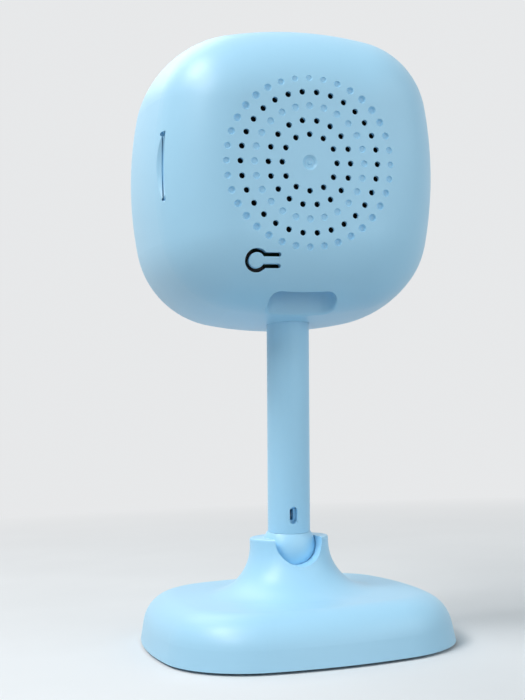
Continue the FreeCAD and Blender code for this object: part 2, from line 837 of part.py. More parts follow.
def make_reset_key(doc):
    skin = cut(doc, "key_skin", pebble(doc, "skin_outer", 0, PARTING_Y),
               pebble(doc, "skin_inner", D.key_thickness, PARTING_Y - 1))
    body = new_body(doc, "key_tongue")
    tongue = new_sketch(body, "tongue", "XZ_Plane", BACK_Y + 1)
    key_outline(tongue, D.key_radius, D.key_arm_half,
                D.key_x - D.key_arm_length + D.key_root_gap)
    pad(body, tongue, D.head_wall + 4)
    blank = overlap(doc, "key_blank", [skin, body])
    key = doc.addObject("Part::Chamfer", "reset_key")
    key.Label = "reset_key"
    key.Base = blank
    key.Edges = [(number, D.key_chamfer.value, D.key_chamfer.value)
                 for number in key_rim(blank.Shape)]
    doc.recompute()
    return pose(key, HEAD_POSE)


def make_front_bezel(doc):
    body = new_body(doc, "front_bezel")
    spine = new_sketch(body, "bezel_spine", "XZ_Plane")
    squircle(spine, D.head_half, D.head_side_radius, D.head_corner_radius, HEAD_Z)
    drop = D.widest_depth - D.parting_depth
    parting_x = D.head_half - FLANK_RADIUS + root(FLANK_RADIUS * FLANK_RADIUS - drop * drop)
    lip_outer = D.head_half - D.head_wall - D.slip_gap
    lip_inner = lip_outer - D.lip_thickness
    seat_half = WINDOW_HALF + D.fit_gap
    seat_y = FRONT_Y + D.window_thickness
    profile = new_sketch(body, "bezel_profile", "XY_Plane", HEAD_Z)
    outline(profile, [
        (WINDOW_HALF - D.ledge_width, seat_y),
        (seat_half, seat_y),
        (seat_half, FRONT_Y),
        (D.head_half - D.front_round, FRONT_Y, D.front_round, 1),
        (D.head_half, FRONT_Y + D.front_round),
        (D.head_half, BACK_Y - D.widest_depth, FLANK_RADIUS, 1),
        (parting_x, PARTING_Y),
        (lip_outer, PARTING_Y),
        (lip_outer, PARTING_Y + D.lip_length),
        (lip_inner, PARTING_Y + D.lip_length),
        (lip_inner, LEDGE_Y),
        (WINDOW_HALF - D.ledge_width, LEDGE_Y),
    ])
    sweep(body, profile, spine)
    corners = [(x, HEAD_Z + z) for x in (-LED_POST, LED_POST)
               for z in (-LED_POST, LED_POST)]
    posts = new_sketch(body, "bezel_posts", "XZ_Plane", LED_BOARD_FRONT)
    for x, z in corners:
        circle(posts, D.led_post_radius, x, z)
    pad(body, posts, LED_BOARD_FRONT - seat_y)
    pilots = new_sketch(body, "bezel_pilots", "XZ_Plane", LED_BOARD_FRONT)
    for x, z in corners:
        circle(pilots, D.screw_radius + D.fit_gap, x, z)
    pocket(body, pilots, D.led_board_gap - D.led_board_thickness, reverse=True)
    return pose(body, HEAD_POSE)


def make_front_window(doc):
    body = new_body(doc, "front_window")
    sketch = new_sketch(body, "window_outline", "XZ_Plane", FRONT_Y + D.window_thickness)
    inset = D.head_half - WINDOW_HALF
    squircle(sketch, WINDOW_HALF, D.head_side_radius - inset, D.head_corner_radius - inset,
             HEAD_Z)
    pad(body, sketch, D.window_thickness)
    return pose(body, HEAD_POSE)


# ---------------------------------------------------------------- round pieces of the head

def turned_piece(doc, label, centre_z, corners, formula=HEAD_POSE):
    """A piece turned about a Y axis at the given height; corners are (radius, y)."""
    body = new_body(doc, label)
    sketch = new_sketch(body, label + "_section", "XY_Plane", centre_z)
    outline(sketch, corners)
    turn(body, sketch)
    return pose(body, formula)


def washer(inner, outer, back_y, front_y):
    return [(inner, front_y), (outer, front_y), (outer, back_y), (inner, back_y)]


def plate(doc, label, back_y, thickness, draw):
    """A flat piece parallel to the boards; draw fills its sketch."""
    body = new_body(doc, label)
    sketch = new_sketch(body, label + "_face", "XZ_Plane", back_y)
    draw(sketch)
    pad(body, sketch, thickness)
    return body


def screws(doc, label, points, head_y, length, direction=1):
    """Screws along Y: heads start at head_y, shanks run to +Y (direction 1) or to -Y."""
    body = new_body(doc, label)
    heads = new_sketch(body, label + "_heads", "XZ_Plane", head_y)
    for x, z in points:
        circle(heads, D.screw_head_radius, x, z)
    pad(body, heads, D.screw_head_height, reverse=direction < 0)
    shanks = new_sketch(body, label + "_shanks", "XZ_Plane", head_y)
    for x, z in points:
        circle(shanks, D.screw_radius, x, z)
    pad(body, shanks, length, reverse=direction > 0)
    slots = new_sketch(body, label + "_drives", "XZ_Plane",
                       head_y - direction * D.screw_head_height)
    for x, z in points:
        rectangle(slots, D.screw_head_radius * 1.2, D.screw_head_radius * 0.3, x, z)
    pocket(body, slots, D.screw_head_height / 2, reverse=direction < 0)
    return pose(body, HEAD_POSE)


def make_speaker(doc):
    flange_back = INNER_BACK_Y - D.gasket_thickness
    flange_front = flange_back - D.speaker_flange
    pan_front = flange_back - D.speaker_depth + D.magnet_thickness
    gasket = turned_piece(doc, "speaker_gasket", GRILLE_Z,
                          washer(D.speaker_rim, D.speaker_radius, INNER_BACK_Y, flange_back))
    frame = turned_piece(doc, "speaker_frame", GRILLE_Z, [
        (D.speaker_rim, flange_back),
        (D.speaker_rim, flange_front + 0.4),
        (D.magnet_radius - 0.8, pan_front + 0.6),
        (D.magnet_radius - 2.4, pan_front + 0.6),
        (D.magnet_radius - 2.4, pan_front),
        (D.magnet_radius, pan_front),
        (D.speaker_rim + 0.4, flange_front),
        (D.speaker_radius, flange_front),
        (D.speaker_radius, flange_back),
    ])
    magnet_front = pan_front - D.magnet_thickness
    magnet = turned_piece(doc, "speaker_magnet", GRILLE_Z, [
        (0, magnet_front),
        (D.magnet_radius, magnet_front),
        (D.magnet_radius, pan_front),
        (D.magnet_radius - 3.2, pan_front),
        (D.magnet_radius - 3.2, magnet_front + 0.5),
        (D.magnet_radius - 4.2, magnet_front + 0.5),
        (D.magnet_radius - 4.2, pan_front + 0.3),
        (0, pan_front + 0.3),
    ])
    # The cone hangs in the frame by its surround; its voice coil dips into the magnet's gap.
    edge = D.speaker_rim - D.cone_gap
    coil_outer = D.magnet_radius - 3.45
    cone_back = flange_back - 0.05
    surround_front = cone_back - 0.25
    dome_y = cone_back - 1.2
    cone = turned_piece(doc, "speaker_cone", GRILLE_Z, [
        (0, dome_y),
        (coil_outer - 0.5, dome_y - 0.6),
        (coil_outer - 0.5, pan_front - 0.4),
        (coil_outer, pan_front - 0.4),
        (coil_outer, dome_y - 0.7),
        (edge - 2.0, surround_front),
        (edge, surround_front),
        (edge, cone_back),
        (edge - 2.0, cone_back),
        (coil_outer + 0.2, dome_y - 0.3),
        (0, dome_y + 0.4),
    ])
    return [gasket, frame, magnet, cone]


def board_corners(offset):
    return [(x, HEAD_Z + z) for x in (-offset, offset) for z in (-offset, offset)]


def make_main_board(doc):
    inset = D.head_half - BOARD_HALF

    def draw(sketch):
        squircle(sketch, BOARD_HALF, D.head_side_radius - inset, D.head_corner_radius - inset,
                 HEAD_Z)
    body = plate(doc, "main_board", D.board_back, D.board_thickness, draw)
    holes = new_sketch(body, "board_holes", "XZ_Plane", D.board_back)
    for x, z in board_corners(D.board_post_offset):
        circle(holes, D.screw_radius + D.fit_gap, x, z)
    for x, z in holder_screw_points():
        circle(holes, D.screw_radius + D.fit_gap, x, z)
    pocket(body, holes, reverse=True)
    # The lower edge stops above the recess and the stem's anchor.
    foot = new_sketch(body, "board_foot", "XZ_Plane", D.board_back)
    foot_top = RECESS_TOP + D.recess_wall + 0.6
    rectangle(foot, 2 * BOARD_HALF, BOARD_HALF, 0, foot_top - BOARD_HALF / 2)
    pocket(body, foot, reverse=True)
    return pose(body, HEAD_POSE)


def holder_screw_points():
    across = D.holder_width / 2 - 3.2
    up = D.holder_height / 2 - 1.9
    return [(-across, HEAD_Z + up), (across, HEAD_Z - up)]


def make_power_socket(doc):
    """Receptacle whose mouth looks down into the recess."""
    body = new_body(doc, "power_socket")
    low = RECESS_TOP + 0.2
    shell = new_sketch(body, "socket_shell", "XY_Plane", low)
    rectangle(shell, D.socket_width, D.socket_depth, 0, SOCKET_Y)
    pad(body, shell, D.socket_length)
    mouth = new_sketch(body, "socket_mouth", "XY_Plane", low)
    rectangle(mouth, D.socket_width - 0.6, D.socket_depth - 0.6, 0, SOCKET_Y)
    pocket(body, mouth, D.socket_length - 0.8, reverse=True)
    tongue = new_sketch(body, "socket_tongue", "XY_Plane", low + 0.8)
    rectangle(tongue, D.socket_width - 2.6, 0.6, 0, SOCKET_Y - 0.2)
    pad(body, tongue, D.socket_length - 1)
    return pose(body, HEAD_POSE)


def make_card_socket(doc):
    """Metal cage on the board's back, open towards the slot in the shell."""
    body = new_body(doc, "card_socket")
    inner_end = CARD_MOUTH - D.card_socket_length
    cage = new_sketch(body, "card_cage", "YZ_Plane", inner_end)
    rectangle(cage, D.card_socket_thickness, D.card_socket_width, card_plane(), GRILLE_Z)
    pad(body, cage, D.card_socket_length)
    lane = new_sketch(body, "card_lane", "YZ_Plane", CARD_MOUTH)
    wall = 2 * D.card_socket_wall
    rectangle(lane, D.card_socket_thickness - wall, D.card_socket_width - 2 * wall,
              card_plane(), GRILLE_Z)
    pocket(body, lane, D.card_socket_length - 0.6)
    return pose(body, HEAD_POSE)


def make_card_slider(doc):
    """Sprung slider that pushes the card out, in the cage's lower corner."""
    height = 1.4
    length = 4.0
    thickness = D.card_socket_thickness - 2 * D.card_socket_wall - 2 * D.slip_gap
    low = GRILLE_Z - D.card_socket_width / 2 + 2 * D.card_socket_wall + D.slip_gap
    return block(doc, "card_slider", CARD_MOUTH - D.card_socket_length + 4.2,
                 card_plane() + thickness / 2, low + height / 2, length, thickness, height)


def make_reset_switch(doc):
    """Push switch on the board behind the reset key, and its plunger."""
    # The case clears the recess's sleeve beside it.
    width = 2 * (D.key_x - D.recess_half_width - D.recess_wall - D.switch_clearance)
    case_back = D.board_back + D.switch_depth
    case = new_body(doc, "reset_switch")
    square = new_sketch(case, "switch_case", "XZ_Plane", case_back)
    rectangle(square, width, width, D.key_x, KEY_Z)
    pad(case, square, D.switch_depth)
    hole = new_sketch(case, "switch_bore", "XZ_Plane", case_back)
    circle(hole, D.switch_bore, D.key_x, KEY_Z)
    pocket(case, hole, D.switch_depth - 0.6, reverse=True)
    # The key's inner face lies on the back's rounding, so the plunger ends just short of it.
    lean = HEAD_Z - KEY_Z + D.key_radius - CORE_HALF
    inner_round = D.back_round - D.key_thickness
    face_y = BACK_Y - D.back_round + root(inner_round * inner_round - lean * lean)
    tip = face_y - D.plunger_gap
    plunger = plate(doc, "switch_plunger", tip, tip - D.board_back - 1.4,
                    lambda sketch: circle(sketch, D.switch_bore - D.fit_gap, D.key_x, KEY_Z))
    return [pose(case, HEAD_POSE), pose(plunger, HEAD_POSE)]


def make_chips(doc):
    """Parts on the front of the main board, and the plate that cools the processor."""
    chip_z = HEAD_Z + D.chip_rise
    processor = block(doc, "processor", -D.chip_x, BOARD_FRONT, chip_z,
                      D.chip_side, D.chip_thickness, D.chip_side)
    pad_back = BOARD_FRONT - D.chip_thickness
    thermal = block(doc, "thermal_pad", -D.chip_x, pad_back, chip_z,
                    D.thermal_side, D.thermal_thickness, D.thermal_side)
    flash = block(doc, "flash_chip", D.flash_x, BOARD_FRONT, HEAD_Z - D.flash_drop,
                  D.flash_width, D.flash_thickness, D.flash_height)
    can = block(doc, "shield_can", D.can_x, BOARD_FRONT, chip_z,
                D.chip_side, D.can_thickness, D.chip_side)
    spreader_back = pad_back - D.thermal_thickness
    spreader = new_body(doc, "heat_spreader")
    sheet = new_sketch(spreader, "spreader_sheet", "XZ_Plane", spreader_back)
    x = -(D.board_post_offset + 2.4)
    outline(sheet, [
        (x, HEAD_Z - D.board_post_offset - 2.4),
        (-(D.board_post_offset - 3.2), HEAD_Z - D.board_post_offset - 2.4),
        (-(D.board_post_offset - 3.2), HEAD_Z + 8.2),
        (D.chip_side / 2 + 0.1 - D.chip_x, HEAD_Z + 8.2),
        (D.chip_side / 2 + 0.1 - D.chip_x, HEAD_Z + D.board_post_offset + 2.4),
        (x, HEAD_Z + D.board_post_offset + 2.4),
    ])
    pad(spreader, sheet, D.spreader_thickness)
    # A round leg stands on the board around one screw head; both heads stay within reach.
    leg = new_sketch(spreader, "spreader_leg", "XZ_Plane", BOARD_FRONT)
    circle(leg, D.screw_head_radius + 1.0, -D.board_post_offset, HEAD_Z - D.board_post_offset)
    pad(spreader, leg, BOARD_FRONT - spreader_back + 0.5)
    holes = new_sketch(spreader, "spreader_holes", "XZ_Plane", BOARD_FRONT)
    for z in (HEAD_Z - D.board_post_offset, HEAD_Z + D.board_post_offset):
        circle(holes, D.screw_head_radius + D.slip_gap, -D.board_post_offset, z)
    pocket(spreader, holes, reverse=True)
    return [processor, thermal, flash, can, pose(spreader, HEAD_POSE)]


def cap_height(radius, half):
    """Height of the cap of a sphere over a circle."""
    radius, half = as_size(radius), as_size(half)
    return radius - root(radius * radius - half * half)


def make_lens(doc):
    """Holder on the board, barrel screwed into it, and two glass elements."""
    block_front = BOARD_FRONT - D.holder_length
    tube_front = block_front - D.holder_tube
    bore = D.barrel_radius + D.fit_gap
    channel_front = D.filter_front - 0.3
    channel_back = D.filter_front + D.filter_thickness + 0.3
    holder = plate(doc, "lens_holder", BOARD_FRONT, D.holder_length,
                   lambda sketch: rectangle(sketch, D.holder_width, D.holder_height, 0, HEAD_Z))
    tube = new_sketch(holder, "holder_tube_outline", "XZ_Plane", block_front)
    circle(tube, bore + 1.5, 0, HEAD_Z)
    pad(holder, tube, D.holder_tube)
    hole = new_sketch(holder, "holder_bore", "XZ_Plane", tube_front)
    circle(hole, bore, 0, HEAD_Z)
    pocket(holder, hole, channel_back - tube_front)
    chamber = new_sketch(holder, "sensor_chamber", "XZ_Plane", BOARD_FRONT)
    rectangle(chamber, 10, 10, 0, HEAD_Z)
    pocket(holder, chamber, BOARD_FRONT - channel_front, reverse=True)
    channel = new_sketch(holder, "filter_channel", "YZ_Plane", -D.holder_width / 2)
    channel_height = 2 * (D.filter_half_height + 0.3)
    channel_y = (channel_front + channel_back) / 2
    rectangle(channel, channel_back - channel_front, channel_height, channel_y, HEAD_Z)
    pocket(holder, channel, reverse=True)
    window = new_sketch(holder, "pin_window", "XY_Plane", HEAD_Z - D.holder_height / 2)
    rectangle(window, D.filter_pitch + 5, 3.6, 0, channel_front + 1.8)
    pocket(holder, window, 4, reverse=True)
    pilots = new_sketch(holder, "holder_pilots", "XZ_Plane", BOARD_FRONT)
    for x, z in holder_screw_points():
        circle(pilots, D.screw_radius + D.fit_gap, x, z)
    pocket(holder, pilots, 3.2, reverse=True)
    barrel = turned_piece(doc, "lens_barrel", HEAD_Z, [
        (3.6, channel_front - 0.6),
        (3.6, block_front - 2),
        (4.6, block_front - 2),
        (4.6, -9.0),
        (5.0, -9.0),
        (5.0, -D.barrel_front),
        (D.barrel_head_radius - 0.4, -D.barrel_front),
        (D.barrel_head_radius, 0.4 - D.barrel_front),
        (D.barrel_head_radius, tube_front - 0.2),
        (D.barrel_radius, tube_front - 0.2),
        (D.barrel_radius, channel_front - 0.6),
    ])
    apex = D.barrel_front - 0.2
    front_glass = turned_piece(doc, "front_lens", HEAD_Z, [
        (0, -9.05 - cap_height(9.0, 3.4)),
        (0, -apex, 9.0, 1),
        (4.9, cap_height(9.0, 4.9) - apex),
        (4.9, -9.05),
        (3.4, -9.05, 9.0, -1),
    ])
    rear_glass = turned_piece(doc, "rear_lens", HEAD_Z, [
        (0, block_front - 5.2, 7.4, 1),
        (4.5, block_front - 5.2 + cap_height(7.4, 4.5)),
        (4.5, block_front - 2.05),
        (0, block_front - 2.05),
    ])
    sensor = block(doc, "image_sensor", 0, BOARD_FRONT, HEAD_Z,
                   D.sensor_width, D.sensor_thickness, D.sensor_height)
    holder_screws = screws(doc, "holder_screws", holder_screw_points(), D.board_back, 4.2, -1)
    return [pose(holder, HEAD_POSE), barrel, front_glass, rear_glass, sensor, holder_screws]


def make_filter_switch(doc):
    """Sliding frame with two glasses, moved by the pin of a small magnet rotor."""
    back = D.filter_front + D.filter_thickness
    centre_x = -D.filter_pitch / 2
    frame = plate(doc, "filter_frame", back, D.filter_thickness, lambda sketch: outline(sketch, [
        (centre_x - D.filter_length / 2, HEAD_Z - D.filter_half_height),
        (centre_x - 2, HEAD_Z - D.filter_half_height),
        (centre_x - 2, HEAD_Z - 8.6),
        (centre_x - 0.75, HEAD_Z - 8.6),
        (centre_x - 0.75, HEAD_Z - 4.3),
        (centre_x + 0.75, HEAD_Z - 4.3),
        (centre_x + 0.75, HEAD_Z - 8.6),
        (centre_x + 2, HEAD_Z - 8.6),
        (centre_x + 2, HEAD_Z - D.filter_half_height),
        (centre_x + D.filter_length / 2, HEAD_Z - D.filter_half_height),
        (centre_x + D.filter_length / 2, HEAD_Z + D.filter_half_height),
        (centre_x - D.filter_length / 2, HEAD_Z + D.filter_half_height),
    ]))
    panes = []
    holes = new_sketch(frame, "filter_holes", "XZ_Plane", back)
    for label, x in (("clear_glass", -D.filter_pitch), ("infrared_cut_glass", as_size(0))):
        circle(holes, D.filter_glass_radius + D.fit_gap, x, HEAD_Z)
        panes.append(pose(plate(doc, label, back - 0.3, 0.7, lambda sketch, at=x: circle(
            sketch, D.filter_glass_radius, at, HEAD_Z)), HEAD_POSE))
    pocket(frame, holes, reverse=True)
    # The rotor rests with its arm swung to the frame's side; its pin rides in the frame's fork.
    arm_back = back + 1.3
    pin_x = -D.rotor_arm * sine(D.rotor_swing)
    pin_z = PIVOT_Z + D.rotor_arm * cosine(D.rotor_swing)
    rotor = plate(doc, "filter_rotor", arm_back + 2.4, 2.4,
                  lambda sketch: circle(sketch, D.rotor_radius, 0, PIVOT_Z))
    arm = new_sketch(rotor, "rotor_arm_outline", "XZ_Plane", arm_back)
    side_x = 0.8 * cosine(D.rotor_swing)
    side_z = 0.8 * sine(D.rotor_swing)
    outline(arm, [
        (0 - side_x, PIVOT_Z - side_z),
        (side_x, PIVOT_Z + side_z),
        (pin_x + side_x, pin_z + side_z, 0.8, 1),
        (pin_x - side_x, pin_z - side_z),
    ])
    pad(rotor, arm, 1.0)
    pin = new_sketch(rotor, "rotor_pin", "XZ_Plane", arm_back - 1)
    circle(pin, 0.5, pin_x, pin_z)
    pad(rotor, pin, 1.5)
    bore = new_sketch(rotor, "rotor_bore", "XZ_Plane", arm_back + 2.4)
    circle(bore, 0.5 + D.fit_gap, 0, PIVOT_Z)
    pocket(rotor, bore, 2.8, reverse=True)
    # Its frame stands on the board: a foot, the pivot pin, two poles and the coil's core.
    foot_back = BOARD_FRONT
    coil_z = PIVOT_Z - 4.6
    coil_y = foot_back - 2.25
    frame_body = plate(doc, "switcher_frame", foot_back, 0.35, lambda sketch: rectangle(
        sketch, 8, 8.4, 0, PIVOT_Z - 2.5))
    pivot = new_sketch(frame_body, "pivot_pin", "XZ_Plane", foot_back)
    circle(pivot, 0.5, 0, PIVOT_Z)
    pad(frame_body, pivot, foot_back - arm_back + 0.2)
    poles = new_sketch(frame_body, "poles", "XZ_Plane", foot_back)
    for side in (-1, 1):
        rectangle(poles, 0.8, 7.2, 3.4 * side, PIVOT_Z - 2.6)
    pad(frame_body, poles, 3.2)
    core = new_sketch(frame_body, "coil_core", "YZ_Plane", -3.2)
    circle(core, 0.7, coil_y, coil_z)
    pad(frame_body, core, 6.4)
    coil = new_body(doc, "switcher_coil")
    winding = new_sketch(coil, "winding", "YZ_Plane", -2.9)
    circle(winding, 1.7, coil_y, coil_z)
    circle(winding, 0.75, coil_y, coil_z)
    pad(coil, winding, 5.8)
    return [pose(frame, HEAD_POSE)] + panes + [
        pose(rotor, HEAD_POSE), pose(frame_body, HEAD_POSE), pose(coil, HEAD_POSE)]


def make_front_board(doc):
    """Board behind the window: infrared LEDs, light sensor, status LED and microphone."""
    def draw_board(sketch):
        squircle(sketch, LED_BOARD_HALF, D.head_side_radius - LED_BOARD_INSET,
                 D.head_corner_radius - LED_BOARD_INSET, HEAD_Z)
        circle(sketch, D.hood_radius + D.slip_gap, 0, HEAD_Z)
        for x, z in board_corners(LED_POST):
            circle(sketch, D.screw_radius + D.fit_gap, x, z)

    def draw_boot(sketch):
        circle(sketch, 1.8, 0, HEAD_Z - LED_POST)
        circle(sketch, 0.6, 0, HEAD_Z - LED_POST)

    board = plate(doc, "led_board", LED_BOARD_BACK, D.led_board_thickness, draw_board)
    leds = new_body(doc, "infrared_leds")
    bases = new_sketch(leds, "led_bases", "XZ_Plane", LED_BOARD_FRONT)
    domes = new_sketch(leds, "led_domes", "XZ_Plane", LED_BOARD_FRONT - 0.7)
    for index in range(8):
        angle = math.pi * (index + 0.5) / 4
        x = D.led_circle * round(math.cos(angle), 9)
        z = HEAD_Z + D.led_circle * round(math.sin(angle), 9)
        rectangle(bases, 3.0, 3.0, x, z)
        circle(domes, 1.2, x, z)
    pad(leds, bases, 0.8)
    pad(leds, domes, 0.8)
    light = block(doc, "light_sensor", 0, LED_BOARD_FRONT, HEAD_Z + LED_POST, 3, 1.1, 2)
    status = block(doc, "status_led", 5, LED_BOARD_FRONT, HEAD_Z + LED_POST, 1.6, 0.9, 1.6)
    microphone = plate(doc, "microphone", LED_BOARD_FRONT, 1.1,
                       lambda sketch: circle(sketch, 1.5, 0, HEAD_Z - LED_POST))
    reach = LED_BOARD_FRONT - 1.1 - FRONT_Y - D.window_thickness
    boot = plate(doc, "microphone_boot", LED_BOARD_FRONT - 1.1, reach, draw_boot)
    hood = turned_piece(doc, "lens_hood", HEAD_Z, washer(
        D.barrel_head_radius + D.slip_gap, D.hood_radius, LED_BOARD_BACK + 1,
        FRONT_Y + D.window_thickness))
    board_screws = screws(doc, "led_board_screws", board_corners(LED_POST),
                          LED_BOARD_BACK, 3.0, -1)
    return [pose(board, HEAD_POSE), pose(leds, HEAD_POSE), light, status,
            pose(microphone, HEAD_POSE), pose(boot, HEAD_POSE), hood, board_screws]


def make_ribbon(doc):
    """Flat cable between the two boards, with a connector at each end."""
    x = BOARD_HALF - D.ribbon_edge_gap
    centre_z = HEAD_Z - D.ribbon_drop
    main_y = BOARD_FRONT - D.connector_height
    led_y = LED_BOARD_BACK + D.connector_height
    connectors = new_body(doc, "ribbon_connectors")
    for name, level in (("main_connector", BOARD_FRONT), ("led_connector", led_y)):
        sketch = new_sketch(connectors, name, "XZ_Plane", level)
        rectangle(sketch, D.connector_width, D.connector_length, x, centre_z)
        pad(connectors, sketch, D.connector_height)
    ribbon = new_body(doc, "ribbon_cable")
    section = new_sketch(ribbon, "ribbon_section", "XY_Plane", centre_z - D.ribbon_width / 2)
    thickness = D.ribbon_thickness
    bulge = D.ribbon_bulge
    middle = (main_y + led_y) / 2
    outline(section, [
        (x, main_y),
        (x, middle + 3),
        (x + bulge, middle),
        (x, middle - 3),
        (x, led_y),
        (x + thickness, led_y),
        (x + thickness, middle - 3),
        (x + bulge + thickness, middle),
        (x + thickness, middle + 3),
        (x + thickness, main_y),
    ])
    pad(ribbon, section, D.ribbon_width)
    return [pose(ribbon, HEAD_POSE), pose(connectors, HEAD_POSE)]


def make_antenna(doc):
    """Strip antenna on the inside of the top wall."""
    body = new_body(doc, "antenna")
    sketch = new_sketch(body, "antenna_strip", "XZ_Plane", D.antenna_back)
    wall_radius = D.head_side_radius - D.head_wall
    centre_z = HEAD_Z + D.head_half - D.head_side_radius
    outer = wall_radius - D.antenna_gap
    inner = outer - 0.3
    half = D.antenna_half

    def height(radius):
        return centre_z + root(radius * radius - half * half)
    outline(sketch, [
        (half, height(inner)),
        (half, height(outer), outer, 1),
        (-half, height(outer)),
        (-half, height(inner), inner, -1),
    ])
    pad(body, sketch, D.antenna_length)
    return pose(body, HEAD_POSE)


# ---------------------------------------------------------------- stem

def stem_piece(doc, label, corners, formula=HEAD_POSE):
    """A piece turned about the stem's axis; corners are (radius, z)."""
    body = new_body(doc, label)
    sketch = new_sketch(body, label + "_section", "XZ_Plane")
    outline(sketch, corners)
    turn(body, sketch)
    if formula:
        pose(body, formula)
    return body


def make_stem(doc):
    low = SEAM_Z + D.fit_gap
    tube = stem_piece(doc, "stem_tube", washer(D.stem_bore, D.stem_radius, STEM_TOP, low))
    window = new_sketch(tube, "latch_window", "XZ_Plane")
    half_width = D.window_width / 2
    half_length = D.window_length / 2
    straight = half_length - half_width
    outline(window, [
        (-half_width, D.window_height - straight, half_width, 1),
        (0, D.window_height - half_length, half_width, 1),
        (half_width, D.window_height - straight),
        (half_width, D.window_height + straight, half_width, 1),
        (0, D.window_height + half_length, half_width, 1),
        (-half_width, D.window_height + straight),
    ])
    pocket(tube, window, D.stem_radius + 1)

    plug_radius = D.stem_bore - D.fit_gap
    bore = D.screw_radius + D.fit_gap
    spigot_low = SEAM_Z - D.spigot_length
    plug = stem_piece(doc, "stem_plug", [
        (bore, spigot_low),
        (D.spigot_radius, spigot_low),
        (D.spigot_radius, low),
        (plug_radius, low),
        (plug_radius, low + D.plug_length - 0.5),
        (plug_radius - 0.5, low + D.plug_length),
        (bore, low + D.plug_length),
    ])
    # The latch's nose looks out of one side of the tube's window, next to the slit that frees it.
    nose = new_sketch(plug, "latch_nose", "XZ_Plane", D.stem_bore + D.fit_gap)
    nose_half = half_width * D.latch_share
    nose_height = 2 * straight + 0.3
    rectangle(nose, 2 * nose_half, nose_height,
              nose_half - half_width + D.fit_gap, D.window_height)
    pad(plug, nose, D.stem_bore / 2)
    slit = new_sketch(plug, "latch_slit", "XZ_Plane")
    slit_half = half_width - nose_half
    rectangle(slit, 2 * slit_half, nose_height, half_width - slit_half, D.window_height)
    pocket(plug, slit, D.stem_radius)

    ball = stem_piece(doc, "ball", [
        (bore, D.ball_height - root(D.ball_radius * D.ball_radius - 2.0 * 2.0) + 1.5),
        (2.0, D.ball_height - root(D.ball_radius * D.ball_radius - 2.0 * 2.0) + 1.5),
        (2.0, D.ball_height - root(D.ball_radius * D.ball_radius - 2.0 * 2.0),
         D.ball_radius, 1),
        (D.ball_radius, D.ball_height, D.ball_radius, 1),
        (D.stem_radius, SEAM_Z),
        (D.spigot_radius + D.fit_gap, SEAM_Z),
        (D.spigot_radius + D.fit_gap, spigot_low - D.fit_gap),
        (bore, spigot_low - D.fit_gap),
    ], BALL_POSE)

    head_low = D.ball_height - root(D.ball_radius * D.ball_radius - 2.0 * 2.0) + 0.3
    head_top = head_low + 1.15
    screw = stem_piece(doc, "ball_screw", [
        (0, head_low),
        (D.screw_head_radius, head_low),
        (D.screw_head_radius, head_top),
        (D.screw_radius, head_top),
        (D.screw_radius, SEAM_Z + 4),
        (0, SEAM_Z + 4),
    ])

    anchor = stem_piece(doc, "stem_anchor", [
        (0, STEM_TOP - D.anchor_length),
        (D.stem_bore - D.fit_gap, STEM_TOP - D.anchor_length),
        (D.stem_bore - D.fit_gap, STEM_TOP),
        (D.boss_radius, STEM_TOP),
        (D.boss_radius, STEM_TOP + D.anchor_flange),
        (0, STEM_TOP + D.anchor_flange),
    ])
    holes = new_sketch(anchor, "anchor_holes", "XY_Plane", STEM_TOP + D.anchor_flange)
    for x in (-D.anchor_screw_x, D.anchor_screw_x):
        circle(holes, D.anchor_screw_radius + D.fit_gap, x)
    pocket(anchor, holes, D.anchor_flange)

    anchor_screws = new_body(doc, "anchor_screws")
    top = STEM_TOP + D.anchor_flange
    heads = new_sketch(anchor_screws, "anchor_heads", "XY_Plane", top)
    shanks = new_sketch(anchor_screws, "anchor_shanks", "XY_Plane", top)
    for x in (-D.anchor_screw_x, D.anchor_screw_x):
        circle(heads, 2 * D.anchor_screw_radius, x)
        circle(shanks, D.anchor_screw_radius, x)
    pad(anchor_screws, heads, 0.9)
    pad(anchor_screws, shanks, D.anchor_flange + 4, reverse=True)
    return [tube, plug, ball, screw, anchor, pose(anchor_screws, HEAD_POSE)]


# ---------------------------------------------------------------- base

